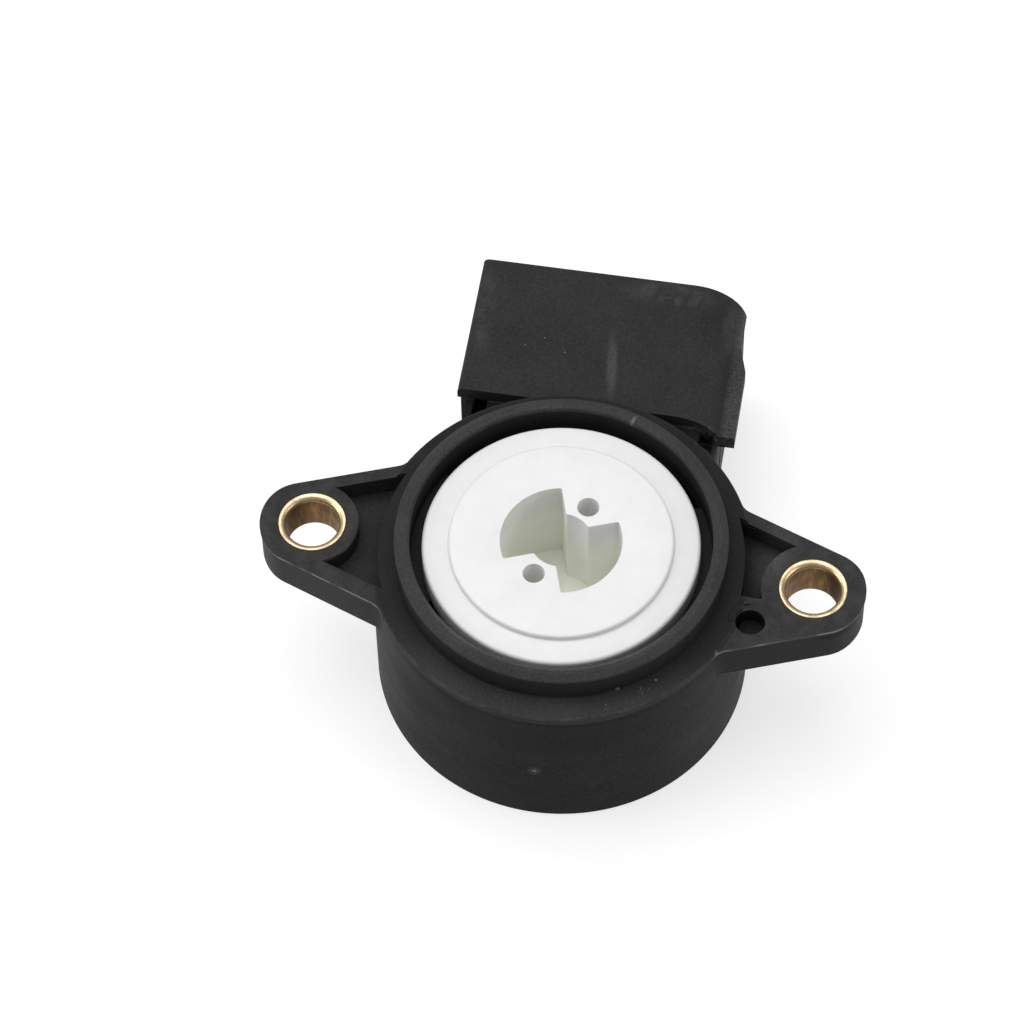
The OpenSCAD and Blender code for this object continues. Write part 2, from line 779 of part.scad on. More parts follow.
module finger(length, lean) {
    root = wiper_t * tan(lean / 2);
    rotate([-lean, 0, 0]) translate([-finger_w / 2, -root, 0])
        cube([finger_w, length + root, wiper_t]);
}

module signal_wiper() { color([0.78, 0.52, 0.30]) wiper(1, 3); }
module idle_wiper() { color([0.78, 0.52, 0.30]) wiper(-1, 2); }

module resistor_board() {
    color([0.86, 0.86, 0.82]) difference() {
        translate([0, 0, board_back_z]) cylinder(r = board_seat_r - seat, h = board_t);
        translate([0, 0, board_back_z - cut]) cylinder(r = board_hole_r, h = board_t + 2 * cut);
    }
}

// Printed arc on the board between two angles
module track(mid_r, a0, a1) {
    arc_bar(mid_r + track_w / 2, mid_r - track_w / 2, board_z, track_z, a0, a1);
}

module resistive_track() {
    color([0.08, 0.08, 0.08]) track(track_mid_r, -track_over, rotor_travel + 3 * track_over);
}
module collector_track() {
    color([0.75, 0.75, 0.74]) track(collector_mid_r, collector_start, collector_start + collector_sweep);
}
module idle_track() {
    color([0.75, 0.75, 0.74]) track(track_mid_r, idle_angle - idle_half, idle_angle + idle_half);
}

module terminal_1() { color([0.80, 0.80, 0.78]) terminal_shape(0, 0); }
module terminal_2() { color([0.80, 0.80, 0.78]) terminal_shape(1, 0); }
module terminal_3() { color([0.80, 0.80, 0.78]) terminal_shape(2, 0); }
module terminal_4() { color([0.80, 0.80, 0.78]) terminal_shape(3, 0); }

// Solder round the foot of each terminal
module solder_joints() {
    color([0.75, 0.76, 0.78]) for (i = [0:pin_count - 1]) difference() {
        translate([pin_x(i), pin_foot_y(i), track_z])
            cylinder(r1 = solder_r, r2 = solder_top_r, h = solder_h);
        terminal_shape(i, fit);
    }
}

module back_cover() {
    color([0.11, 0.11, 0.11]) difference() {
        translate([0, 0, cover_z - cover_t]) cylinder(r = board_seat_r, h = cover_t);
        translate([0, 0, cover_z - cover_t - cut])
            cylinder(r = board_seat_r - cover_rim_w, h = cover_dish + cut);
        translate([0, 0, cover_z - cover_t - cut])
            cylinder(r = cover_dot_r, h = cover_dish + cover_dot_h + cut);
    }
}

module sealing_bead() {
    color([0.14, 0.13, 0.12]) ring(cover_seat_r, board_seat_r, cover_z - cover_t + seal_drop, cover_z);
}

housing();
left_bush();
right_bush();
rotor();
return_spring();
wave_washer();
retaining_ring();
wiper_carrier();
signal_wiper();
idle_wiper();
resistor_board();
resistive_track();
collector_track();
idle_track();
terminal_1();
terminal_2();
terminal_3();
terminal_4();
solder_joints();
back_cover();
sealing_bead();
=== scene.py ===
"""Throttle position sensor: black moulded body with two brass bushes, a white rotor and a plug socket.

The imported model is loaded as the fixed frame. The pieces that show are modelled again here with
soft edges, and every finish is procedural. Sizes in the property groups are in metres; profiles
and outlines are written in millimetres.
"""

import math

import bpy
from mathutils import Matrix, Vector


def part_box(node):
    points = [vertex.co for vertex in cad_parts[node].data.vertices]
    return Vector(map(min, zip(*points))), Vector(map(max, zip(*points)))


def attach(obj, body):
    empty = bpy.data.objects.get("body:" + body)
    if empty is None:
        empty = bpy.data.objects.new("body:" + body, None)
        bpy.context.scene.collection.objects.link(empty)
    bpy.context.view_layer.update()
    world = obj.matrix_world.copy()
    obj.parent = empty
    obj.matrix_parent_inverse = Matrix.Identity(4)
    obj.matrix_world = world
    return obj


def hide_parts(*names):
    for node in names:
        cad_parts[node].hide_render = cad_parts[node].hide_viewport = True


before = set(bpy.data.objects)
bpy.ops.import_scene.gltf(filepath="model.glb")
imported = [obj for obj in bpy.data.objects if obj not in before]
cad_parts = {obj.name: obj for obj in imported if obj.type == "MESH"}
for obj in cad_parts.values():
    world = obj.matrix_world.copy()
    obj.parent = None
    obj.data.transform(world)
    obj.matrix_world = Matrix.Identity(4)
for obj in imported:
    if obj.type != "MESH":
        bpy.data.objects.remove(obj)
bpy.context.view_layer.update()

bl_info = {
    "name": "Throttle position sensor",
    "version": (1, 0, 0),
    "blender": (4, 5, 0),
    "location": "3D View > Sidebar > Sensor",
    "description": "Models and finishes a throttle position sensor and its studio",
    "category": "Object",
}

MM = 0.001
TURN = 2 * math.pi
# How far a cutter stands out of the piece that it cuts, in millimetres
OVER = 2
# Where the straight middle of a lug begins and ends along X, inside the flange and the round end
WEB_X0, WEB_X1 = 12, 29
# Angle between a lug's straight edges and the X axis, in degrees
LUG_TILT = 20.4


# Sizes that come from the frame, in millimetres

def node_box(node):
    """Lowest and highest corner of a CAD node, in millimetres."""
    low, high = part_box(node)
    return low / MM, high / MM


HOUSING_LOW, HOUSING_HIGH = node_box("housing")
ROTOR_LOW, ROTOR_HIGH = node_box("rotor")
BUSH_LOW, BUSH_HIGH = node_box("right_bush")
COVER_LOW, COVER_HIGH = node_box("back_cover")
BEAD_LOW, BEAD_HIGH = node_box("sealing_bead")
BACK_Z = HOUSING_LOW.z
COLLAR_Z = HOUSING_HIGH.z
MOUTH_Y = HOUSING_HIGH.y
HOLE_X = (BUSH_LOW.x + BUSH_HIGH.x) / 2
BUSH_R = (BUSH_HIGH.x - BUSH_LOW.x) / 2
ROTOR_R = ROTOR_HIGH.y
FACE_Z = ROTOR_HIGH.z
COVER_R = COVER_HIGH.x
BEAD_R = BEAD_HIGH.x


# Property groups

def length(name, description, default):
    """A length in metres, from a default in millimetres."""
    return bpy.props.FloatProperty(
        name=name, description=description, default=default * MM, unit="LENGTH", precision=5
    )


def angle(name, description, default):
    """An angle, from a default in degrees."""
    return bpy.props.FloatProperty(
        name=name, description=description, default=math.radians(default), subtype="ANGLE"
    )


def colour(name, description, default):
    """A linear colour."""
    return bpy.props.FloatVectorProperty(
        name=name, description=description, default=default, subtype="COLOR", size=3, min=0, max=1
    )


class SensorBodySizes(bpy.types.PropertyGroup):
    """Sizes of the round body, in the frame's own places."""

    collar_r: length("Collar radius", "Outer radius of the collar round the rotor", 18.1)
    collar_in_r: length("Collar inner radius", "Radius of the well inside the collar", 16.4)
    flange_r: length("Flange radius", "Radius of the round flange", 20.75)
    flange_h: length("Flange height", "Thickness of the round flange", 2.2)
    barrel_r: length("Barrel radius", "Radius of the body behind the flange", 20.65)
    well_depth: length("Well depth", "Depth of the well under the rotor", 9.2)
    edge: length("Edge", "Radius of the soft edges of the moulding", 0.22)


class SensorLugSizes(bpy.types.PropertyGroup):
    """Sizes of the two mounting lugs."""

    lug_r: length("Lug radius", "Radius of the round end of a lug", 5.745)
    lug_top: length("Lug top", "How far the lugs stand below the flange face", 0.3)
    lug_h: length("Lug height", "Thickness of the lugs", 5.1)
    band_h: length("Band height", "Height of the band above the parting line", 0.4)
    band_step: length("Band step", "How far the lug is set in below the band", 0.1)
    pocket_depth: length("Pocket depth", "Depth of the pockets in the lugs", 2.6)
    pocket_in: length("Pocket end", "How far the pockets reach into the flange", 0.85)
    rear_rib: length("Rear rib", "Width of the rib behind the pockets", 1.4)
    front_rib: length("Front rib", "Width of the rib in front of the left pocket", 1.9)
    shoulder_r: length("Shoulder radius", "Radius where the round end meets a straight edge", 4.5)
    rear_in: length("Rear edge", "How far the rear edge lies inside the full round end", 0.45)
    front_in: length("Front edge", "How far the front edge lies inside the full round end", 0.12)
    fillet: length("Fillet", "Hollow radius where a lug meets the flange", 2.0)
    hole_x: length("Locating hole across", "Place of the locating hole along X", 21.35)
    hole_y: length("Locating hole along", "Place of the locating hole along Y", -5.1)
    hole_r: length("Locating hole radius", "Radius of the locating hole", 1.65)
    hole_depth: length("Locating hole depth", "Depth of the locating hole", 2.4)


class SensorPlugSizes(bpy.types.PropertyGroup):
    """Sizes of the plug socket."""

    near_y: length("Near edge", "Where the socket's overhanging edge lies", 20.1)
    floor_y: length("Socket floor", "Where the inside of the socket ends", 23.5)
    left_x: length("Left side", "Left side of the socket", -14.95)
    right_x: length("Right side", "Right side of the socket", 15.35)
    top: length("Top", "How far the socket's top lies below the flange face", 0.8)
    height: length("Height", "Height of the socket", 15.0)
    wall: length("Wall", "Wall of the socket", 1.7)
    low_in: length("Lower step", "How far the right side is set in below the rail", 0.3)
    near_in: length("Near step", "How much further it is set in beside the rail", 0.5)
    rail_out: length("Rail", "How far the side rail stands out", 0.9)
    large_round: length("Large round", "Radius of the upper right edge", 6.0)
    small_round: length("Small round", "Radius of the other edges", 0.8)


class SensorRotorSizes(bpy.types.PropertyGroup):
    """Sizes of the rotor and its drive socket."""

    face_r: length("Face radius", "Radius of the raised face", 12.2)
    face_step: length("Face step", "Height of the raised face over the rim", 0.65)
    disc_t: length("Rim thickness", "Thickness of the rim", 2.95)
    socket_r: length("Socket radius", "Radius of the drive socket", 6.64)
    socket_depth: length("Socket depth", "Depth of the drive socket", 12.5)
    apex: length("Drive apex", "Where the sides of a drive lug would meet", 1.5)
    clear_r: length("Clear radius", "Radius of the clear middle of the socket", 3.35)
    pin_hole_r: length("Pin hole radius", "Radius of the hole in each drive lug", 1.2)
    pin_ring_r: length("Pin ring radius", "Distance of those holes from the axis", 5.12)
    pin_hole_depth: length("Pin hole depth", "Depth of those holes", 5.0)
    drive_angle: angle("Drive angle", "Angle of the drive lugs at rest", 64)
    drive_half_angle: angle("Half angle", "Half angle between the sides of a drive lug", 43.4)


class SensorFinishes(bpy.types.PropertyGroup):
    """Colours of the finishes."""

    body: colour("Body", "Black moulded plastic", (0.0272, 0.0270, 0.0268))
    # Pale specks and marks, and also the painted highlight along the parting line
    dust_and_highlight: colour("Dust_and_highlight", "Pale specks on the black plastic", (0.24, 0.24, 0.23))
    rotor: colour("Rotor", "White moulded plastic", (0.735, 0.738, 0.732))
    # Painted light: a paler, greener white that stands in for light reaching deep into the socket
    rotor_deep_painted_light: colour("Rotor, deep", "White plastic deep in the socket", (0.84, 0.85, 0.77))
    brass: colour("Brass", "Turned brass of the bushes", (0.70, 0.54, 0.32))
    # Painted shade: the dark brown in the bores stands in for the dark surroundings that they reflect
    bore_painted_shade: colour("Bore_shade", "Brown brass in the bores", (0.19, 0.11, 0.045))
    floor: colour("Floor", "Studio floor", (0.42, 0.42, 0.42))


# Selection and object helpers

def deselect():
    bpy.ops.object.select_all(action="DESELECT")


def pick(obj):
    """Makes obj the only selected and the active object."""
    deselect()
    obj.select_set(True)
    bpy.context.view_layer.objects.active = obj


def edit(obj, *steps):
    """Runs edit-mode steps, each of them on the whole mesh."""
    pick(obj)
    bpy.ops.object.mode_set(mode="EDIT")
    for step in steps:
        bpy.ops.mesh.select_all(action="SELECT")
        step()
    bpy.ops.object.mode_set(mode="OBJECT")


def merge_doubles():
    bpy.ops.mesh.remove_doubles(threshold=0.002 * MM)


def face_outwards():
    bpy.ops.mesh.normals_make_consistent(inside=False)


def ring_of_points(name, points, filled):
    """A circle primitive whose corners are moved to points, given in millimetres."""
    deselect()
    bpy.ops.mesh.primitive_circle_add(
        vertices=len(points), radius=1, fill_type="NGON" if filled else "NOTHING"
    )
    obj = bpy.context.object
    obj.name = name
    obj.data.name = name
    for vertex, point in zip(obj.data.vertices, points):
        vertex.co = Vector(point) * MM
    return obj


def use_modifier(obj, kind, **settings):
    """Adds a modifier, sets it and applies it."""
    pick(obj)
    bpy.ops.object.modifier_add(type=kind)
    modifier = obj.modifiers[-1]
    for key, value in settings.items():
        setattr(modifier, key, value)
    bpy.ops.object.modifier_apply(modifier=modifier.name)


def combine(obj, other, operation):
    """Boolean of two closed meshes; the second one is used up."""
    use_modifier(obj, "BOOLEAN", operation=operation, object=other, solver="EXACT")
    bpy.data.objects.remove(other)


def cut_away(obj, *cutters):
    for cutter in cutters:
        combine(obj, cutter, "DIFFERENCE")


def soften(obj, width, segments=3, angle=32):
    """Rounds the edges that are sharper than angle, to a width in millimetres."""
    use_modifier(
        obj, "BEVEL", width=width * MM, segments=segments, limit_method="ANGLE",
        angle_limit=math.radians(angle), use_clamp_overlap=True, miter_outer="MITER_ARC",
    )


def join(name, shells):
    """Joins closed shells into one object."""
    deselect()
    for shell in shells:
        shell.select_set(True)
    bpy.context.view_layer.objects.active = shells[0]
    bpy.ops.object.join()
    obj = bpy.context.object
    obj.name = name
    obj.data.name = name
    return obj


def finish_piece(obj, material, body, slot, *nodes, smooth=38):
    """Shades a piece, gives it its material, puts it under its body and hides the nodes that it stands
    for.
    """
    obj.data.materials.append(material)
    pick(obj)
    bpy.ops.object.shade_smooth_by_angle(angle=math.radians(smooth))
    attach(obj, body)
    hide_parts(*nodes)
    return obj


# Drawing helpers, in millimetres

def polar(radius, angle, centre=(0, 0)):
    return (centre[0] + radius * math.cos(angle), centre[1] + radius * math.sin(angle))


def arc(radius, start, end, steps, centre=(0, 0)):
    """Points on an arc, angles in radians, both ends included."""
    return [polar(radius, start + (end - start) * i / steps, centre) for i in range(steps + 1)]


def rounded(corners, steps=4):
    """Closed outline through corners (a, b) or (a, b, radius), with each corner rounded."""
    points = []
    count = len(corners)
    for i, corner in enumerate(corners):
        here = Vector(corner[:2])
        radius = corner[2] if len(corner) > 2 else 0
        if not radius:
            points.append(tuple(here))
            continue
        before = (Vector(corners[i - 1][:2]) - here).normalized()
        after = (Vector(corners[(i + 1) % count][:2]) - here).normalized()
        half = before.angle(after) / 2
        centre = here + (before + after).normalized() * radius / math.sin(half)
        first = here + before * radius / math.tan(half) - centre
        last = here + after * radius / math.tan(half) - centre
        sweep = first.angle_signed(last)
        for k in range(steps + 1):
            turned_by = Matrix.Rotation(-sweep * k / steps, 2)
            points.append(tuple(centre + turned_by @ first))
    return points


def turned(name, profile, centre=(0, 0), steps=128):
    """Spins a closed (radius, height) profile round a vertical axis."""
    x, y = centre
    obj = ring_of_points(name, [(x + r, y, z) for r, z in profile], filled=False)

    def spin():
        bpy.ops.mesh.spin(
            steps=steps, angle=TURN, center=(x * MM, y * MM, 0), axis=(0, 0, 1), use_auto_merge=False
        )

    edit(obj, spin, merge_doubles, face_outwards)
    return obj


def drawn(name, outline, low, high, axis="Z"):
    """Extrudes a closed outline from low to high along an axis.

    Its points are (x, y) for Z, (x, z) for Y and (y, z) for X.
    """
    along = "XYZ".index(axis)
    move = [0, 0, 0]
    move[along] = (high - low) * MM
    points = [(*point[:along], low, *point[along:]) for point in outline]
    obj = ring_of_points(name, points, filled=True)

    def extrude():
        bpy.ops.mesh.extrude_region_move(TRANSFORM_OT_translate={"value": move})

    edit(obj, extrude, face_outwards)
    return obj


def block(name, low, high):
    """A box between two corners."""
    (x0, y0, z0), (x1, y1, z1) = low, high
    return drawn(name, [(x0, y0), (x1, y0), (x1, y1), (x0, y1)], z0, z1)


def rod(name, radius, centre, low, high, steps=64):
    return drawn(name, arc(radius, 0, TURN * (1 - 1 / steps), steps - 1, centre), low, high)


def mirrored(outline):
    """The same outline on the other side of the YZ plane."""
    return [(-a, b) for a, b in reversed(outline)]


# Material helpers

# Colour sockets of a Mix node: its two inputs and its output
COLOUR_A, COLOUR_B, COLOUR_OUT = 6, 7, 2


class Finish:
    """A procedural material on Object coordinates, in metres."""

    def __init__(self, name):
        self.material = bpy.data.materials.new(name)
        self.material.use_nodes = True
        self.tree = self.material.node_tree
        self.shader = self.tree.nodes["Principled BSDF"]
        self.place = self.add("ShaderNodeTexCoord").outputs["Object"]

    def add(self, kind, **settings):
        node = self.tree.nodes.new(kind)
        for key, value in settings.items():
            setattr(node, key, value)
        return node

    def link(self, source, target):
        self.tree.links.new(source, target)

    def set(self, **values):
        """Sets plain numbers and colours on the shader's own sockets."""
        for key, value in values.items():
            self.shader.inputs[key.replace("_", " ")].default_value = value

    def put(self, socket, value):
        """Links value to socket, or sets it if it is a number or a colour."""
        if isinstance(value, bpy.types.NodeSocket):
            self.link(value, socket)
        else:
            socket.default_value = value

    def math(self, operation, a, b=0.0, c=0.0):
        node = self.add("ShaderNodeMath", operation=operation)
        for socket, value in zip(node.inputs, (a, b, c)):
            self.put(socket, value)
        return node.outputs[0]

    def times(self, a, b):
        return self.math("MULTIPLY", a, b)

    def plus(self, a, b):
        return self.math("ADD", a, b)

    def away(self, a, b):
        """How far a lies from b, on either side."""
        return self.math("ABSOLUTE", self.math("SUBTRACT", a, b))

    def parts(self):
        """Separate X, Y and Z of the place, in millimetres."""
        scaled = self.add("ShaderNodeVectorMath", operation="SCALE")
        self.link(self.place, scaled.inputs[0])
        scaled.inputs["Scale"].default_value = 1 / MM
        node = self.add("ShaderNodeSeparateXYZ")
        self.link(scaled.outputs[0], node.inputs[0])
        return node.outputs

    def distance(self, a, b):
        """Length whose two square parts are a and b."""
        return self.math("SQRT", self.plus(self.math("POWER", a, 2.0), self.math("POWER", b, 2.0)))

    def noise(self, period, detail, roughness=0.55, place=None, stretch=None):
        """Noise whose features are about period millimetres apart."""
        where = place or self.place
        if stretch:
            mapping = self.add("ShaderNodeMapping")
            self.link(where, mapping.inputs["Vector"])
            mapping.inputs["Scale"].default_value = stretch
            where = mapping.outputs[0]
        node = self.add("ShaderNodeTexNoise")
        self.link(where, node.inputs["Vector"])
        node.inputs["Scale"].default_value = 1 / (period * MM)
        node.inputs["Detail"].default_value = detail
        node.inputs["Roughness"].default_value = roughness
        return node.outputs["Fac"]

    def ramp(self, value, low, high, to_low=0.0, to_high=1.0):
        """Maps value from low..high to to_low..to_high, clamped and with soft ends."""
        node = self.add("ShaderNodeMapRange", interpolation_type="SMOOTHSTEP")
        self.put(node.inputs["Value"], value)
        ends = {"From Min": low, "From Max": high, "To Min": to_low, "To Max": to_high}
        for name, number in ends.items():
            node.inputs[name].default_value = number
        return node.outputs["Result"]

    def mix(self, factor, a, b):
        """Colour between a and b."""
        node = self.add("ShaderNodeMix", data_type="RGBA")
        self.put(node.inputs["Factor"], factor)
        for socket, value in zip(node.inputs[COLOUR_A:COLOUR_B + 1], (a, b)):
            self.put(socket, value if isinstance(value, bpy.types.NodeSocket) else (*value[:3], 1))
        return node.outputs[COLOUR_OUT]

    def shade(self, colour_socket, amount):
        """Colour times a number that varies over the surface."""
        node = self.add("ShaderNodeMix", data_type="RGBA", blend_type="MULTIPLY")
        node.inputs["Factor"].default_value = 1.0
        self.put(node.inputs[COLOUR_A], colour_socket)
        grey = self.add("ShaderNodeCombineColor")
        for socket in grey.inputs:
            self.link(amount, socket)
        self.link(grey.outputs[0], node.inputs[COLOUR_B])
        return node.outputs[COLOUR_OUT]

    def specks(self, spacing, radius, share):
        """Small dots, at random places about spacing millimetres apart, in a share of the cells."""
        node = self.add("ShaderNodeTexVoronoi", feature="F1")
        self.link(self.place, node.inputs["Vector"])
        node.inputs["Scale"].default_value = 1 / (spacing * MM)
        full = 0.45
        near = self.ramp(node.outputs["Distance"], radius / spacing, full * radius / spacing)
        pick_one = self.add("ShaderNodeSeparateColor")
        self.link(node.outputs["Color"], pick_one.inputs[0])
        chosen = self.math("GREATER_THAN", pick_one.outputs[0], 1 - share)
        return self.times(near, chosen)

    def patch(self, centre, half_sizes, turn=0.0):
        """Soft spot round a centre in millimetres, long along its own first axis, turned by degrees."""
        node = self.add("ShaderNodeMapping", vector_type="TEXTURE")
        self.link(self.place, node.inputs["Vector"])
        node.inputs["Location"].default_value = Vector(centre) * MM
        node.inputs["Rotation"].default_value = (0, 0, math.radians(turn))
        node.inputs["Scale"].default_value = Vector(half_sizes) * MM
        span = self.add("ShaderNodeVectorMath", operation="LENGTH")
        self.link(node.outputs[0], span.inputs[0])
        edge, full = 1.0, 0.3
        return self.ramp(span.outputs["Value"], edge, full)

    def patches(self, areas):
        """Highest of several soft spots."""
        return self.either([self.patch(*area) for area in areas])

    def either(self, masks):
        """Highest of several masks."""
        highest = masks[0]
        for mask in masks[1:]:
            highest = self.math("MAXIMUM", highest, mask)
        return highest

    def bump(self, height, depth, normal=None):
        """Bump whose full height is depth millimetres."""
        node = self.add("ShaderNodeBump")
        node.inputs["Strength"].default_value = 1.0
        node.inputs["Distance"].default_value = depth * MM
        self.put(node.inputs["Height"], height)
        if normal:
            self.link(normal, node.inputs["Normal"])
        return node.outputs["Normal"]

    def done(self, base, roughness=None, normal=None):
        self.put(self.shader.inputs["Base Color"], base)
        if roughness is not None:
            self.put(self.shader.inputs["Roughness"], roughness)
        if normal is not None:
            self.link(normal, self.shader.inputs["Normal"])
        return self.material


# Finishes

# Marks that the photo shows on the housing: centre, half sizes in millimetres, turn in degrees
RUBS = (
    ((1.6, 25.6, -0.8), (5.6, 0.85, 0.9), -83),
    ((8.1, -15.6, 0.6), (0.5, 0.2, 0.9), 60),
    ((0.3, -20.65, -11.6), (1.0, 0.6, 1.1), 0),
)
SCARS = (
    ((5.4, 15.8, 3.7), (1.3, 0.28, 0.9), 68),
)
HAZE = (
    ((6.5, 36.4, -0.8), (7.5, 2.2, 1.5), 0),
    ((-13.6, 31.0, -0.8), (1.6, 7.5, 1.5), 4),
    ((14.2, 34.0, -2.5), (1.8, 4.5, 3.0), 0),
)
SMUDGES = (
    ((5.2, 36.0, -0.8), (1.8, 0.5, 0.8), 74), ((7.0, 35.6, -0.8), (2.0, 0.4, 0.8), 75),
    ((8.6, 35.9, -0.8), (1.8, 0.5, 0.8), 76), ((10.2, 35.6, -0.8), (1.6, 0.4, 0.8), 76),
)
CHIPS = (
    ((8.6, -15.9, 0.3), 0.36), ((12.45, -14.05, 0.0), 0.20), ((18.3, -9.65, -0.3), 0.42),
    ((20.2, -5.05, -0.3), 0.20), ((0.3, -20.65, -11.6), 0.35), ((-8.4, 27.0, -0.8), 0.12),
    ((-6.4, 28.3, -0.8), 0.12), ((-3.9, 26.7, -0.8), 0.14), ((22.9, -8.0, -0.4), 0.13),
)
DUSTY = (
    ((7.4, -18.2, 0.0), (1.3, 0.8, 0.5), 20),
    ((11.0, -15.8, 0.0), (1.6, 0.7, 0.5), 40),
)
# Places on the housing with painted light, namely fill light on the pocket floors and a highlight on
# the left rear rib, and with painted shade, namely a shadow under the flash at the right lug's tip, and
# by how much
# Painted fill light on both pocket floors, and a painted highlight on the left rear rib
PAINTED_LIGHT = (
    ((22.8, 3.4, -1.7), (3.8, 5.6, 3.2), 0, 1.05),
    ((-22.6, 0.0, -1.7), (3.4, 7.0, 3.2), 0, 0.12),
    ((-21.8, 8.9, -0.3), (7.0, 1.6, 0.8), 20, 0.5),
)
# Painted shadow under the flash at the right lug's tip
PAINTED_SHADE = (
    ((30.8, -4.6, -1.5), (3.4, 2.4, 0.8), 0, 0.55),
)


def housing_marks(f, grain, parting, hood_y):
    """Pale marks of the housing: rubs, haze, chips, dust, and a painted highlight along the parting
    line.
    """
    x, y, z = f.parts()
    smudged, chipped, dusted = 0.8, 0.5, 0.5
    rubs = f.times(f.patches(RUBS), f.ramp(grain, 0.2, 0.7, 0.06, 0.15))
    scars = f.times(f.patches(SCARS), f.ramp(grain, 0.3, 0.6, 0.15, 0.45))
    haze = f.times(f.patches(HAZE), f.ramp(f.noise(1.6, detail=5), 0.3, 0.7, 0.0, 0.09))
    haze = f.times(haze, f.math("SUBTRACT", 1.0, f.times(f.patches(SMUDGES), smudged)))
    chips = f.times(f.patches([(centre, (size,) * 3) for centre, size in CHIPS]), chipped)
    dusty = f.times(f.times(f.patches(DUSTY), f.specks(0.3, 0.11, 0.60)), dusted)
    # A painted highlight runs along the parting line on the front half of the lugs, where a flash lip
    # would catch light; stronger in some places
    on_lug = f.times(f.ramp(f.math("ABSOLUTE", x), 17.8, 18.8), f.ramp(y, 0.5, -1.0))
    seam_highlight = f.times(f.ramp(f.away(z, parting), 0.185, 0.13), on_lug)
    seam_highlight = f.times(seam_highlight, f.ramp(f.noise(3.4, detail=3), 0.38, 0.56, 0.16, 0.72))
    # Worn edge of the flange
    rim = f.times(f.ramp(f.distance(x, y), 20.5, 20.65), f.ramp(z, -0.45, -0.2))
    rim = f.times(rim, f.ramp(f.noise(1.6, detail=4), 0.35, 0.65, 0.02, 0.10))
    # Torn flash on the right part of the hood's lip
    torn = f.times(f.ramp(x, 10.0, 12.0), f.ramp(z, -1.7, -2.1))
    torn = f.times(torn, f.ramp(f.away(y, hood_y), 0.45, 0.15))
    torn = f.times(torn, f.ramp(f.noise(0.8, detail=3), 0.44, 0.60, 0.0, 0.14))
    return f.either([rubs, scars, haze, chips, dusty, seam_highlight, rim, torn])


def housing_painted_light(f):
    """Painted light and shade on the housing: lit top faces, painted highlights on the collar rim and
    edges, painted shade on the side walls, painted fill light in the pockets.
    """
    x, y, z = f.parts()
    from_axis = f.distance(x, y)
    # Painted shade: below the top faces the walls are darker, most in the middle and least at the left
    # lug's tip
    wall_shade = f.either([f.ramp(x, -24, -12, 1.05, 0.32), f.ramp(x, 10, 20, 0.32, 0.56)])
    lit_faces, plug = f.ramp(z, -1.3, -0.9), f.ramp(y, 19.8, 20.0)
    # Painted shade on the collar's outer wall, and a painted highlight on the collar's top rim
    collar_wall_shade = f.ramp(z, 0.1, 0.5, 1.0, 0.62)
    collar_rim_highlight = f.ramp(z, 3.0, 3.3, 0.0, 0.85)
    tone = f.plus(f.times(f.either([lit_faces, plug, wall_shade]), collar_wall_shade), collar_rim_highlight)
    # Painted light and shade on the flange face: paler towards the front, darker towards the back
    flange_face_light = f.times(f.ramp(from_axis, 20.8, 20.6), f.ramp(f.math("ABSOLUTE", z), 0.4, 0.2))
    tone = f.plus(tone, f.times(flange_face_light, f.ramp(y, -18.5, -9, 0.28, -0.28)))
    # Painted highlights inside the front of the collar and on the plug socket's right side
    collar_inside_highlight = f.times(f.ramp(from_axis, 17.0, 16.6), f.ramp(y, -8.0, -14.0))
    plug_side_highlight = f.times(f.ramp(x, 14.2, 15.2), f.ramp(y, 19.5, 21.0))
    tone = f.plus(tone, f.either([collar_inside_highlight, f.times(plug_side_highlight, 0.7)]))
    # Painted fill light on the pocket floors and a painted highlight on the rib
    for *area, amount in PAINTED_LIGHT:
        tone = f.math("MULTIPLY_ADD", f.patch(*area), amount, tone)
    # Painted shadow under the flash at the right lug's tip
    for *area, amount in PAINTED_SHADE:
        tone = f.times(tone, f.math("MULTIPLY_ADD", f.patch(*area), -amount, 1.0))
    return tone


def black_plastic(name, base, dust_and_highlight, parting=None, hood_y=0.0):
    """Glass-filled black plastic: fine grain, faint flow marks and pale specks.

    With a parting height it is the housing's own: its tone carries painted light and painted shade from
    place to place, and it gets its listed marks, with a painted highlight along the parting line.
    """
    f = Finish(name)
    grain = f.noise(0.30, detail=6, roughness=0.7)
    flow = f.noise(9.0, detail=3, stretch=(1, 1, 2.5))
    tone = f.plus(f.ramp(flow, 0.3, 0.7, 0.86, 1.10), f.ramp(grain, 0.3, 0.7, -0.20, 0.26))
    pale = f.times(f.either([f.specks(2.1, 0.055, 0.22), f.specks(5.3, 0.09, 0.12)]), 0.3)
    if parting is not None:
        height = f.parts()["Z"]
        scuffs = f.ramp(f.noise(0.22, detail=3, roughness=0.6), 0.34, 0.66, -0.45, 0.55)
        tone = f.math("MULTIPLY_ADD", scuffs, f.ramp(height, -3.0, -4.5, 0.12, 1.0), tone)
        # Painted light and painted shade over the housing
        tone = f.times(tone, housing_painted_light(f))
        pale = f.either([pale, housing_marks(f, grain, parting, hood_y)])
    # The pale colour paints specks, marks and the painted highlight along the parting line
    marks_and_painted_light = f.mix(pale, f.shade((*base, 1), tone), dust_and_highlight)
    roughness = f.plus(f.ramp(flow, 0.3, 0.7, 0.50, 0.58), f.ramp(grain, 0.3, 0.7, -0.04, 0.06))
    normal = f.bump(f.noise(0.20, detail=3), 0.014, f.bump(grain, 0.024))
    f.set(Specular_IOR_Level=0.045)
    return f.done(marks_and_painted_light, roughness, normal)


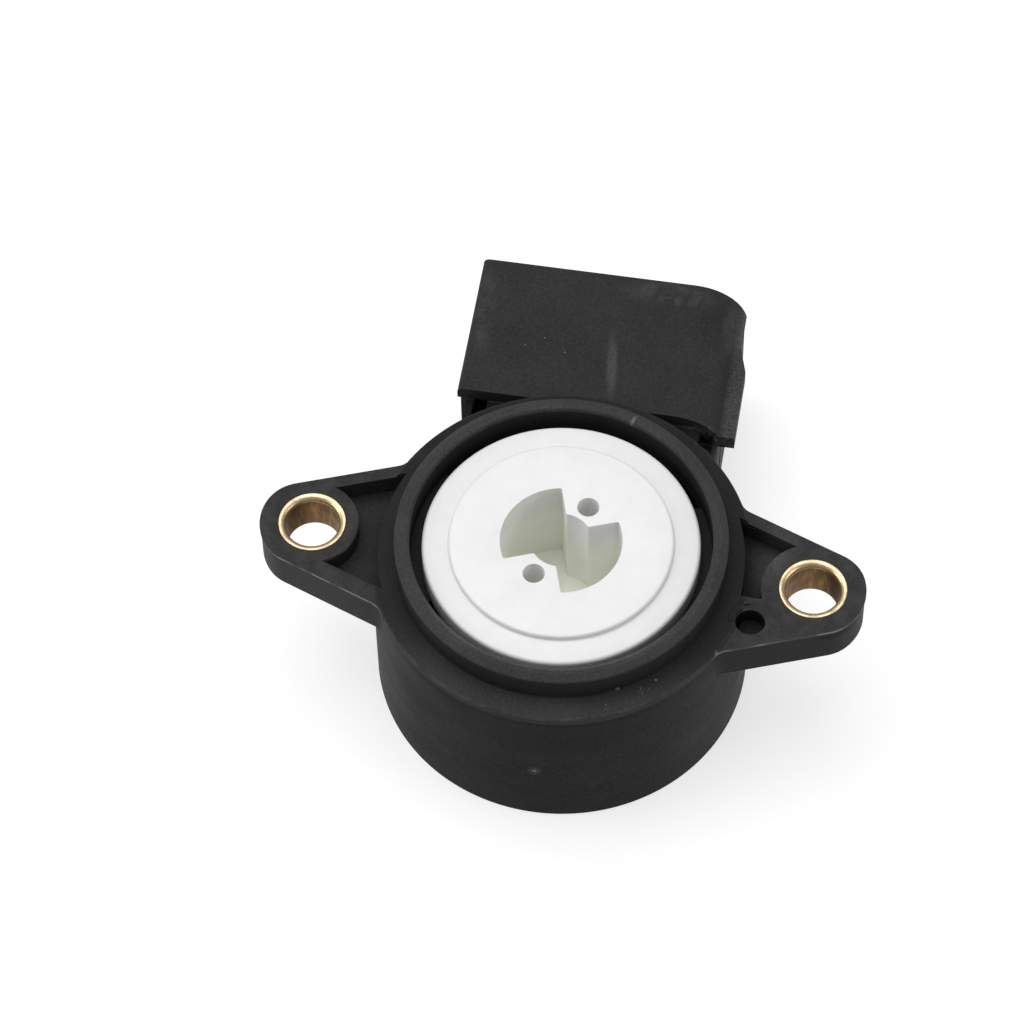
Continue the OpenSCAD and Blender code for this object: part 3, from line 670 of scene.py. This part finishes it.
def white_plastic(base, deep_painted_light):
    """White plastic of the rotor: smooth, with painted light that makes it paler and greener deeper in
    its socket.
    """
    f = Finish("rotor_white")
    # Painted light: paler and greener towards the bottom of the socket
    tone = f.mix(f.ramp(f.parts()["Z"], 2.4, -4.0), base, deep_painted_light)
    tone = f.shade(tone, f.ramp(f.noise(2.2, detail=4), 0.3, 0.7, 0.97, 1.0))
    roughness = f.ramp(f.noise(0.8, detail=5), 0.3, 0.7, 0.34, 0.44)
    f.set(Specular_IOR_Level=0.45, Subsurface_Weight=0.12, Subsurface_Scale=0.0015)
    f.set(Subsurface_Radius=(1.0, 1.0, 0.9))
    return f.done(tone, roughness, f.bump(f.noise(0.5, detail=3), 0.006))


def turned_brass(base, bore):
    """Brass turned on a lathe: fine rings round each bush, and in the bore painted shade, a darker
    brown with streaks.
    """
    f = Finish("bush_brass")
    duller, paler_streak, rougher = 0.74, 1.7, 0.2
    x, y, z = f.parts()
    radius = f.distance(f.math("SUBTRACT", f.math("ABSOLUTE", x), HOLE_X), y)
    ring_place = f.add("ShaderNodeCombineXYZ")
    f.link(radius, ring_place.inputs["X"])
    f.link(z, ring_place.inputs["Z"])
    # This place is in millimetres already, so the period goes in without its factor
    rings = f.noise(0.06 / MM, detail=3, place=ring_place.outputs[0])
    dull = f.noise(1.4, detail=4)
    tone = f.mix(f.ramp(dull, 0.42, 0.68), base, [c * duller for c in base])
    streaks = f.noise(0.55, detail=4, stretch=(1, 1, 0.12))
    # Painted shade: the bore is a darker, streaked brown that stands in for a dark reflection
    bore_shade_colour = f.mix(f.ramp(streaks, 0.45, 0.68), bore, [c * paler_streak for c in bore])
    in_bore = f.times(f.ramp(radius, 3.02, 2.94), f.ramp(z, -0.6, -0.95))
    tone = f.mix(in_bore, tone, bore_shade_colour)
    roughness = f.plus(f.ramp(dull, 0.35, 0.7, 0.32, 0.44), f.ramp(rings, 0.3, 0.7, -0.03, 0.05))
    roughness = f.plus(roughness, f.times(in_bore, rougher))
    f.set(Metallic=1.0)
    return f.done(tone, roughness, f.bump(rings, 0.006))


def plated_metal(name, base, low_rough, high_rough):
    """Plated or drawn metal with fine marks."""
    f = Finish(name)
    marks = f.noise(0.25, detail=5, stretch=(1, 0.12, 1))
    dull = f.noise(1.8, detail=3)
    tone = f.shade((*base, 1), f.ramp(dull, 0.3, 0.7, 0.82, 1.0))
    f.set(Metallic=1.0)
    return f.done(tone, f.ramp(marks, 0.3, 0.7, low_rough, high_rough), f.bump(marks, 0.004))


def matt_finish(name, base, roughness, grain_period, grain_depth):
    """Matt surface with a fine grain: board, printed tracks and carrier."""
    f = Finish(name)
    grain = f.noise(grain_period, detail=5)
    tone = f.shade((*base, 1), f.ramp(grain, 0.3, 0.7, 0.85, 1.08))
    uneven = f.ramp(grain, 0.3, 0.7, roughness - 0.06, roughness + 0.08)
    return f.done(tone, uneven, f.bump(grain, grain_depth))


def cast_resin():
    """Black sealing resin, glossy and slightly uneven."""
    f = Finish("sealing_resin")
    wave = f.noise(2.4, detail=2)
    tone = f.shade((0.012, 0.012, 0.013, 1), f.ramp(wave, 0.3, 0.7, 0.8, 1.3))
    return f.done(tone, f.ramp(wave, 0.3, 0.7, 0.16, 0.30), f.bump(wave, 0.08))


def studio_floor(base):
    """Pale seamless floor, lit from behind like a light table."""
    f = Finish("studio_floor")
    paper = f.noise(14.0, detail=2)
    tone = f.shade((*base, 1), f.ramp(paper, 0.3, 0.7, 0.995, 1.0))
    f.set(Roughness=0.9, Specular_IOR_Level=0.1, Emission_Strength=0.64, Emission_Color=(1, 1, 1, 1))
    return f.done(tone)


# Shapes of the housing

def body_shell(s):
    """The turned body: collar, flange, barrel, front well and rear chamber."""
    edge = s.edge / MM
    collar_r, collar_in_r = s.collar_r / MM, s.collar_in_r / MM
    flange_r, barrel_r = s.flange_r / MM, s.barrel_r / MM
    flange_h, well_z = s.flange_h / MM, -s.well_depth / MM
    bearing_r, boss_r, boss_h, web = 8.19, 9.99, 3, 2
    boss_z, web_z = well_z + boss_h, well_z - web
    chamber_wall, board_gap, well_round = 3.5, 1.3, 0.5
    chamber_r, board_z = barrel_r - chamber_wall, COVER_HIGH.z + board_gap
    chamfer, chamfer_h, flange_step = 0.8, 0.5, 0.1
    profile = rounded([
        (bearing_r, web_z), (bearing_r, boss_z, edge), (boss_r, boss_z, edge),
        (boss_r, well_z, well_round), (collar_in_r, well_z, well_round),
        (collar_in_r, COLLAR_Z, 0.3), (collar_r - chamfer, COLLAR_Z, 0.25),
        (collar_r, COLLAR_Z - chamfer_h, 0.35), (collar_r, 0, 0.12),
        (flange_r, 0, 0.25), (flange_r, -flange_h, 0.06),
        (barrel_r, -flange_h - flange_step, 0.04),
        (barrel_r, BACK_Z, 0.25), (BEAD_R, BACK_Z, edge), (BEAD_R, COVER_HIGH.z),
        (COVER_R, COVER_HIGH.z), (COVER_R, board_z), (chamber_r, board_z),
        (chamber_r, web_z, well_round),
    ])
    return turned("body_shell", profile, steps=192)


def lug_frame():
    """Direction out of the rear edge of the right lug, and along it towards the tip."""
    tilt = math.radians(LUG_TILT)
    return Vector((math.sin(tilt), math.cos(tilt))), Vector((math.cos(tilt), -math.sin(tilt)))


def lug_outline(s, flange_r, inset):
    """Outline of the right lug: round end, straight edges, hollow corners at the flange."""
    out, along = lug_frame()
    fillet = s.fillet / MM
    radius = s.lug_r / MM - inset
    reach = flange_r - inset + fillet
    root_x, root_y = 13, 8

    def edge(cut):
        """Angle where the round end passes into a shoulder, and the points from there to the flange."""
        spare = radius - s.shoulder_r / MM
        facing = math.atan2(out.y, out.x)
        start = facing - math.acos(1 - cut / spare)
        shoulder = arc(radius - spare, start, facing, 10, polar(spare, start, (HOLE_X, 0)))
        height = out.x * HOLE_X + radius - cut + fillet
        corner = out * height + along * math.sqrt(reach ** 2 - height ** 2)
        hollow = arc(fillet, facing - math.pi, math.atan2(-corner.y, -corner.x), 8, corner)
        return start, shoulder + hollow

    rear_start, rear = edge(s.rear_in / MM)
    front_start, front = edge(s.front_in / MM)
    tip = arc(radius, -front_start, rear_start, 30, (HOLE_X, 0))[1:-1]
    return tip + rear + [(root_x, root_y), (root_x, -root_y)] + [(a, -b) for a, b in reversed(front)]


def lug_web(s, rear, front):
    """Straight-sided middle of the right lug, set in from its two edges."""
    out = lug_frame()[0]
    radius = s.lug_r / MM

    def height(x, inset):
        """Distance from the X axis to an edge of the lug that is set in, at x."""
        return (out.x * (HOLE_X - x) + radius - inset) / out.y

    rear += s.rear_in / MM
    front += s.front_in / MM
    return [
        (WEB_X0, height(WEB_X0, rear)), (WEB_X1, height(WEB_X1, rear)),
        (WEB_X1, -height(WEB_X1, front)), (WEB_X0, -height(WEB_X0, front)),
    ]


def pocket(s, body, right, spare=0.0, reach=0.0):
    """Cutter for the pocket of one lug, with soft corners.

    The lug and the body behind it are cut apart, and no two of their faces may lie in one
    place: spare makes the cut wider and deeper, and reach takes it further in.
    """
    top = -s.lug_top / MM
    boss_wall = 1.9 if right else 1.35
    hole_wall, corner, tall = 1.3, 0.35, 6
    web = lug_web(s, s.rear_rib / MM - spare, s.front_rib / MM - spare)
    if right:
        low_y = (s.hole_y + s.hole_r) / MM + hole_wall - spare
        web = [web[0], web[1], (WEB_X1, low_y), (WEB_X0, low_y)]
    else:
        web = mirrored(web)
    side = 1 if right else -1
    ring_r = (body.flange_r - s.pocket_in) / MM - reach
    cutter = drawn("pocket", web, top - s.pocket_depth / MM - spare, top + OVER)
    cut_away(
        cutter,
        rod("pocket_ring", ring_r, (0, 0), top - tall, top + tall, 192),
        rod("pocket_boss", BUSH_R + boss_wall, (side * HOLE_X, 0), top - tall, top + tall, 96),
    )
    use_modifier(
        cutter, "BEVEL", width=corner * MM, segments=3, limit_method="ANGLE",
        angle_limit=math.radians(50), use_clamp_overlap=True,
    )
    return cutter


def locating_hole(s):
    """Cutter for the blind locating hole in the right lug."""
    top = -s.lug_top / MM
    place = (s.hole_x / MM, s.hole_y / MM)
    return rod("locating_hole", s.hole_r / MM, place, top - s.hole_depth / MM, top + OVER, 48)


def lug_shell(s, body, right):
    """One lug: band and set-in part below it, with its pocket and its bush hole."""
    top = -s.lug_top / MM
    band = top - s.band_h / MM
    low = top - s.lug_h / MM
    side = 1 if right else -1
    overlap, seat_gap, lug_edge = 0.2, 0.02, 0.18
    shells = []
    for inset, z0, z1 in ((0, band, top), (s.band_step / MM, low, band + overlap)):
        outline = lug_outline(s, body.flange_r / MM, inset)
        shells.append(drawn("lug", outline if right else mirrored(outline), z0, z1))
    lug = shells[0]
    combine(lug, shells[1], "UNION")
    cutters = [
        rod("bush_seat", BUSH_R + seat_gap, (side * HOLE_X, 0), low - OVER, top + OVER, 96),
        pocket(s, body, right, reach=0.15),
    ]
    if right:
        cutters.append(locating_hole(s))
    cut_away(lug, *cutters)
    soften(lug, lug_edge)
    return lug


def socket_section(s, inset):
    """Section of the plug socket in X and Z."""
    least_small, least_large = 0.3, 0.6
    small = max(s.small_round / MM - inset, least_small)
    large = max(s.large_round / MM - inset, least_large)
    x0, x1 = s.left_x / MM + inset, s.right_x / MM - inset
    z1 = -s.top / MM - inset
    z0 = (-s.top - s.height) / MM + inset
    corners = [(x0, z0, small), (x1, z0, small), (x1, z1, large), (x0, z1, small)]
    return rounded(corners, steps=12)


def plug_shells(s):
    """The plug socket: tube, overhanging hood, neck, side rail, latch ramp and rails."""
    x0, x1 = s.left_x / MM, s.right_x / MM
    top = -s.top / MM
    base = top - s.height / MM
    wall, near_y, floor_y = s.wall / MM, s.near_y / MM, s.floor_y / MM
    middle = (x0 + x1) / 2
    back_wall, rail_drop, rail_h, rail_len, rail_ramp, rail_root = 1.6, 2.9, 2, 9, 3, 1.4
    back_y = floor_y - back_wall
    rail_top = top - rail_drop
    rail_low, rail_end = rail_top - rail_h, near_y + rail_len
    low_x = x1 - s.low_in / MM
    near_x = low_x - s.near_in / MM
    tube = drawn("socket_tube", socket_section(s, 0), near_y, MOUTH_Y, axis="Y")
    out_x, out_y, out_z = x1 + OVER, MOUTH_Y + OVER, base - OVER
    cutters = [
        drawn("socket_inside", socket_section(s, wall), floor_y, out_y, axis="Y"),
        drawn("hood_inside", socket_section(s, wall), near_y - OVER, back_y, axis="Y"),
        block("hood_left", (x0 - OVER, near_y - OVER, out_z), (middle, back_y, top - wall)),
        block("hood_low", (middle - 1, near_y - OVER, out_z), (out_x, back_y, rail_low)),
        block("low_step", (low_x, near_y - 1, out_z), (out_x, out_y, rail_low)),
        block("near_step", (near_x, near_y - 1, out_z), (out_x, rail_end + 1, rail_low)),
    ]
    key_r, key_x, key_in = 0.7, 7.5, 6
    for side in (-1, 1):
        key = arc(key_r, 0, TURN * 15 / 16, 15, (middle + side * key_x, base + wall))
        cutters.append(drawn("key_groove", key, near_y + key_in, out_y, axis="Y"))
    cut_away(tube, *cutters)
    rail_x, root_x, ramp_y = x1 + s.rail_out / MM, x1 - rail_root, rail_end + rail_ramp
    rail = drawn("side_rail", [
        (root_x, near_y), (rail_x, near_y), (rail_x, rail_end), (x1, ramp_y), (root_x, ramp_y),
    ], rail_low, rail_top)
    combine(tube, rail, "UNION")
    tube_edge, latch_edge = 0.2, 0.15
    soften(tube, tube_edge)

    neck_y, neck_in, neck_gap, neck_round = 14, 1, 0.06, 3.1
    pocket_w, pocket_y0, pocket_y1, left_wall, right_wall = 1.5, 18, 22, 0.9, 0.6
    neck_x0, neck_x1 = x0 + neck_in, near_x - neck_gap
    neck = drawn("neck", rounded([
        (neck_x0, base + neck_in), (neck_x1, base + neck_in),
        (neck_x1, top - wall, neck_round), (neck_x0, top - wall),
    ], steps=8), neck_y, floor_y, axis="Y")
    cut_away(neck, *[
        block("neck_pocket", (x, pocket_y0, rail_low), (x + pocket_w, pocket_y1, top + 1))
        for x in (neck_x0 + left_wall, neck_x1 - right_wall - pocket_w)
    ])
    soften(neck, tube_edge)

    latch_in, latch_h, latch_root, ramp_x, ramp_top, ramp_len = 7, 1.4, 0.4, 3, 0.8, 4.4
    latch_y, latch_z, root_z = MOUTH_Y - latch_in, base - latch_h, base + latch_root
    latch = [drawn("latch_ramp", [
        (latch_y, root_z), (latch_y, latch_z), (latch_y + ramp_top, latch_z),
        (latch_y + ramp_len, base), (latch_y + ramp_len, root_z),
    ], middle - ramp_x, middle + ramp_x, axis="X")]
    guide_x, guide_half, guide_in = 5.6, 0.7, 4
    for side in (-1, 1):
        x = middle + side * guide_x
        low, high = (x - guide_half, near_y + guide_in, latch_z), (x + guide_half, MOUTH_Y, root_z)
        latch.append(block("latch_rail", low, high))
    for piece in latch:
        soften(piece, latch_edge)
    return [tube, neck, *latch]


def arc_bar(name, r_out, r_in, start, end, low, high, centre=(0, 0), edge=0.15):
    """Part of a ring between two angles, in degrees."""
    a, b = math.radians(start), math.radians(end)
    outline = arc(r_out, a, b, 10, centre) + arc(r_in, b, a, 10, centre)
    bar = drawn(name, outline, low, high)
    soften(bar, edge)
    return bar


# Shapes of the rotor

def drive_opening(s):
    """Outline of the drive socket: a round hole with two lugs standing into it."""
    socket_r, clear_r, apex = s.socket_r / MM, s.clear_r / MM, s.apex / MM
    half = s.drive_half_angle
    tip_round, root_round = 0.18, 0.2

    def side_at(radius):
        """Angle from a lug's middle to its side, where the side is radius away from the axis."""
        run = math.sqrt(radius ** 2 - (apex * math.sin(half)) ** 2) - apex * math.cos(half)
        return math.atan2(run * math.sin(half), apex + run * math.cos(half))

    outer, inner = side_at(socket_r), side_at(clear_r)
    corners = []
    for lug in (s.drive_angle, s.drive_angle + math.pi):
        hollow = arc(clear_r, lug - inner, lug + inner, 10)
        round_wall = arc(socket_r, lug + outer, lug + math.pi - outer, 26)
        for wall, corner in ((hollow, tip_round), (round_wall, root_round)):
            corners += [(*wall[0], corner), *wall[1:-1], (*wall[-1], corner)]
    return rounded(corners, steps=3)


def rotor_shell(s):
    """The rotor: rim, raised face, hub and flatted end, with its drive socket and pin holes."""
    rim_z = FACE_Z - s.face_step / MM
    disc_z = rim_z - s.disc_t / MM
    face_r = s.face_r / MM
    hub_r, neck_wall, neck_z, key_r, key_h = 8.14, 1.2, -5.2, 5.0, 1.5
    neck_r, key_z = hub_r + neck_wall, ROTOR_LOW.z + key_h
    profile = rounded([
        (0, FACE_Z), (face_r, FACE_Z, 0.3), (face_r, rim_z, 0.16), (ROTOR_R, rim_z, 0.4),
        (ROTOR_R, disc_z, 0.3), (neck_r, disc_z, 0.3), (neck_r, neck_z, 0.2), (hub_r, neck_z),
        (hub_r, key_z, 0.4), (key_r, key_z), (key_r, ROTOR_LOW.z, 0.3), (0, ROTOR_LOW.z),
    ])
    rotor = turned("rotor_shell", profile, steps=160)
    out_z = FACE_Z + OVER
    cutters = [drawn("drive_socket", drive_opening(s), FACE_Z - s.socket_depth / MM, out_z)]
    for turn in (0, math.pi):
        place = polar(s.pin_ring_r / MM, s.drive_angle + turn)
        low = FACE_Z - s.pin_hole_depth / MM
        cutters.append(rod("pin_hole", s.pin_hole_r / MM, place, low, out_z, 40))
    flat_y, out_y = 3.7, 6
    for side in (-1, 1):
        y0, y1 = sorted((side * flat_y, side * out_y))
        cutters.append(block("key_flat", (-out_y, y0, ROTOR_LOW.z - 1), (out_y, y1, key_z)))
    cut_away(rotor, *cutters)
    rotor_edge = 0.14
    soften(rotor, rotor_edge, angle=40)
    tab_overlap, tab_in_r, tab_start, tab_end, tab_h, tab_root = 0.2, 12.3, 191, 209, 3, 0.5
    tab = arc_bar(
        "stop_tab", ROTOR_R - tab_overlap, tab_in_r, tab_start, tab_end,
        disc_z - tab_h, disc_z + tab_root,
    )
    return join("rotor_white", [rotor, tab])


# Operators

class SENSOR_OT_housing(bpy.types.Operator):
    """Model the black moulding: body, lugs, neck and plug socket"""

    bl_idname = "sensor.housing"
    bl_label = "Housing"

    def execute(self, context):
        scene = context.scene
        body, lugs, plug = scene.sensor_body, scene.sensor_lugs, scene.sensor_plug
        look = scene.sensor_finishes
        shell = body_shell(body)
        cutters = [pocket(lugs, body, right, spare=0.06) for right in (False, True)]
        cut_away(shell, *cutters, locating_hole(lugs))
        well_z = -body.well_depth / MM
        stop_r, stop_in_r, stop_angle, stop_z = 17, 12.6, 10, -1.4
        stops = [
            arc_bar("rotor_stop", stop_r, stop_in_r, start, start + stop_angle, well_z - 1, stop_z)
            for start in (180, 310)
        ]
        place = (lugs.hole_x / MM, lugs.hole_y / MM)
        hole_r, top = lugs.hole_r / MM, -lugs.lug_top / MM
        lip_out, lip_in, lip_start, lip_end, lip_root, lip_z = 0.72, 0.42, 100, 195, 0.5, 0.06
        lip = arc_bar(
            "hole_lip", hole_r + lip_out, hole_r + lip_in, lip_start, lip_end,
            top - lip_root, lip_z, place, edge=0.08,
        )
        shells = [shell, lip, lug_shell(lugs, body, False), lug_shell(lugs, body, True)]
        housing = join("housing_black", shells + plug_shells(plug) + stops)
        parting = -(lugs.lug_top + lugs.band_h / 2) / MM
        material = black_plastic("body_black", look.body, look.dust_and_highlight, parting, plug.near_y / MM)
        finish_piece(housing, material, "sensor_body", "body_plastic", "housing")
        return {"FINISHED"}


class SENSOR_OT_bushes(bpy.types.Operator):
    """Model the two turned bushes"""

    bl_idname = "sensor.bushes"
    bl_label = "Bushes"

    def execute(self, context):
        bore, mouth, outer, chamfer = 2.92, 0.6, 0.12, 0.4
        low, high = BUSH_LOW.z, BUSH_HIGH.z
        profile = rounded([
            (bore, low + chamfer, 0.2), (bore + chamfer, low, 0.1), (BUSH_R, low, outer),
            (BUSH_R, high, outer), (bore, high, mouth),
        ], steps=8)
        look = context.scene.sensor_finishes
        material = turned_brass(look.brass, look.bore_painted_shade)
        for side, node in ((-1, "left_bush"), (1, "right_bush")):
            bush = turned(f"{node}_turned", profile, (side * HOLE_X, 0), steps=96)
            finish_piece(bush, material, "sensor_body", "bush_brass", node)
        return {"FINISHED"}


class SENSOR_OT_rotor(bpy.types.Operator):
    """Model the white rotor with its drive socket"""

    bl_idname = "sensor.rotor"
    bl_label = "Rotor"

    def execute(self, context):
        look = context.scene.sensor_finishes
        rotor = rotor_shell(context.scene.sensor_rotor)
        material = white_plastic(look.rotor, look.rotor_deep_painted_light)
        finish_piece(rotor, material, "rotor", "rotor_plastic", "rotor")
        return {"FINISHED"}


class SENSOR_OT_back(bpy.types.Operator):
    """Model the back cover and the resin bead round it"""

    bl_idname = "sensor.back"
    bl_label = "Back cover"

    def execute(self, context):
        look = context.scene.sensor_finishes
        low, high = COVER_LOW.z, COVER_HIGH.z
        rim_w, rim_slope, recess, soft = 1.6, 0.2, 0.5, 0.15
        gate_r, gate_slope, gate_depth = 1.3, 0.2, 0.3
        rim_r, plate_z = COVER_R - rim_w, low + recess
        gate_z = plate_z + gate_depth
        cover = turned("cover_moulded", rounded([
            (0, high), (COVER_R, high), (COVER_R, low, 0.25), (rim_r, low, 0.2),
            (rim_r - rim_slope, plate_z, soft), (gate_r, plate_z, soft),
            (gate_r - gate_slope, gate_z, soft), (0, gate_z),
        ]))
        paler = 1.1
        material = black_plastic("cover_black", [c * paler for c in look.body], look.dust_and_highlight)
        finish_piece(cover, material, "sensor_body", "cover_plastic", "back_cover")
        low, high = BEAD_LOW.z, BEAD_HIGH.z
        side_z, hollow_z = low + 0.05, low + 0.25
        bead = turned("bead_cast", rounded([
            (COVER_R, high), (COVER_R, side_z, 0.1), ((COVER_R + BEAD_R) / 2, hollow_z, 0.3),
            (BEAD_R, side_z, 0.1), (BEAD_R, high),
        ]))
        finish_piece(bead, cast_resin(), "sensor_body", "sealant", "sealing_bead")
        return {"FINISHED"}


class SENSOR_OT_inner_finishes(bpy.types.Operator):
    """Give the inner pieces, whose shapes are right, their finishes"""

    bl_idname = "sensor.inner_finishes"
    bl_label = "Inner finishes"

    def execute(self, context):
        steel = plated_metal("spring_steel", (0.55, 0.56, 0.58), 0.25, 0.42)
        bronze = plated_metal("spring_bronze", (0.72, 0.45, 0.25), 0.24, 0.40)
        tinned = plated_metal("tinned_brass", (0.74, 0.73, 0.70), 0.22, 0.38)
        solder = plated_metal("solder_grey", (0.62, 0.63, 0.65), 0.18, 0.34)
        silver = matt_finish("silver_film", (0.52, 0.52, 0.50), 0.42, 0.15, 0.005)
        carbon = matt_finish("carbon_film", (0.012, 0.012, 0.012), 0.48, 0.12, 0.005)
        board = matt_finish("board_ceramic", (0.72, 0.71, 0.66), 0.55, 0.3, 0.008)
        carrier = matt_finish("carrier_black", (0.020, 0.019, 0.018), 0.48, 0.3, 0.015)
        finishes = {
            "return_spring": steel, "wave_washer": steel, "retaining_ring": steel,
            "signal_wiper": bronze, "idle_wiper": bronze, "wiper_carrier": carrier,
            "resistor_board": board, "resistive_track": carbon, "collector_track": silver,
            "idle_track": silver, "solder_joints": solder,
            **{f"terminal_{number}": tinned for number in range(1, 5)},
        }
        for node, material in finishes.items():
            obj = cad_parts[node]
            if not obj.material_slots:
                obj.data.materials.append(material)
            for slot in obj.material_slots:
                slot.material = material
        return {"FINISHED"}


class SENSOR_OT_studio(bpy.types.Operator):
    """Lay the floor, set the lights and place the camera"""

    bl_idname = "sensor.studio"
    bl_label = "Studio"

    def execute(self, context):
        scene = context.scene
        scene.view_settings.view_transform = "Standard"
        deselect()
        floor_gap = 0.00001
        bpy.ops.mesh.primitive_plane_add(size=3, location=(0, 0, BACK_Z * MM - floor_gap))
        floor = bpy.context.object
        floor.name = "studio_floor"
        edit(floor, lambda: bpy.ops.mesh.subdivide(number_cuts=4))
        floor.data.materials.append(studio_floor(scene.sensor_finishes.floor))
        world = bpy.data.worlds.new("studio_world")
        scene.world = world
        world.use_nodes = True
        sky = world.node_tree.nodes["Background"]
        sky.inputs["Color"].default_value = (0.96, 0.98, 1.0, 1)
        sky.inputs["Strength"].default_value = 0.35
        lights = [
            ("softbox_over", (-0.10, 0.12, 0.60), 0.6, 3.1, (1.0, 1.0, 1.0)),
            ("softbox_left", (-0.55, -0.10, 0.30), 0.35, 1.2, (1.0, 0.98, 0.96)),
            ("softbox_right", (0.55, -0.05, 0.28), 0.35, 0.9, (1.0, 0.98, 0.96)),
        ]
        for name, place, size, power, tint in lights:
            deselect()
            bpy.ops.object.light_add(type="AREA", location=place)
            lamp = bpy.context.object
            lamp.name = name
            lamp.data.shape = "SQUARE"
            lamp.data.size = size
            lamp.data.energy = power
            lamp.data.color = tint
            lamp.rotation_euler = (-Vector(place)).to_track_quat("-Z", "Y").to_euler()
        deselect()
        right = Vector((0.98638, 0.16388, -0.01403))
        up = Vector((-0.131, 0.83432, 0.53549))
        back = Vector((0.09946, -0.52636, 0.84442))
        bpy.ops.object.camera_add(location=(0.04239, -0.25357, 0.41429))
        camera = bpy.context.object
        camera.name = "studio_camera"
        camera.rotation_euler = Matrix((right, up, back)).transposed().to_euler()
        camera.data.sensor_width = 36
        camera.data.lens = 158.8
        camera.data.clip_start = 0.01
        camera.data.clip_end = 20
        scene.camera = camera
        return {"FINISHED"}


class SENSOR_PT_panel(bpy.types.Panel):
    """Lists the sensor's pieces in the sidebar"""

    bl_label = "Throttle position sensor"
    bl_idname = "SENSOR_PT_panel"
    bl_space_type = "VIEW_3D"
    bl_region_type = "UI"
    bl_category = "Sensor"

    def draw(self, context):
        for operator in OPERATORS:
            self.layout.operator(operator.bl_idname)
        for name in GROUPS:
            settings = getattr(context.scene, name)
            box = self.layout.box()
            for key in settings.__annotations__:
                box.prop(settings, key)


GROUPS = {
    "sensor_body": SensorBodySizes,
    "sensor_lugs": SensorLugSizes,
    "sensor_plug": SensorPlugSizes,
    "sensor_rotor": SensorRotorSizes,
    "sensor_finishes": SensorFinishes,
}
OPERATORS = (
    SENSOR_OT_housing, SENSOR_OT_bushes, SENSOR_OT_rotor, SENSOR_OT_back,
    SENSOR_OT_inner_finishes, SENSOR_OT_studio,
)


def register():
    for name, group in GROUPS.items():
        bpy.utils.register_class(group)
        setattr(bpy.types.Scene, name, bpy.props.PointerProperty(type=group))
    for item in (*OPERATORS, SENSOR_PT_panel):
        bpy.utils.register_class(item)


def unregister():
    for item in (SENSOR_PT_panel, *reversed(OPERATORS)):
        bpy.utils.unregister_class(item)
    for name, group in GROUPS.items():
        delattr(bpy.types.Scene, name)
        bpy.utils.unregister_class(group)


def main():
    register()
    bpy.ops.sensor.housing()
    bpy.ops.sensor.bushes()
    bpy.ops.sensor.rotor()
    bpy.ops.sensor.back()
    bpy.ops.sensor.inner_finishes()
    bpy.ops.sensor.studio()


if __name__ == "__main__":
    main()
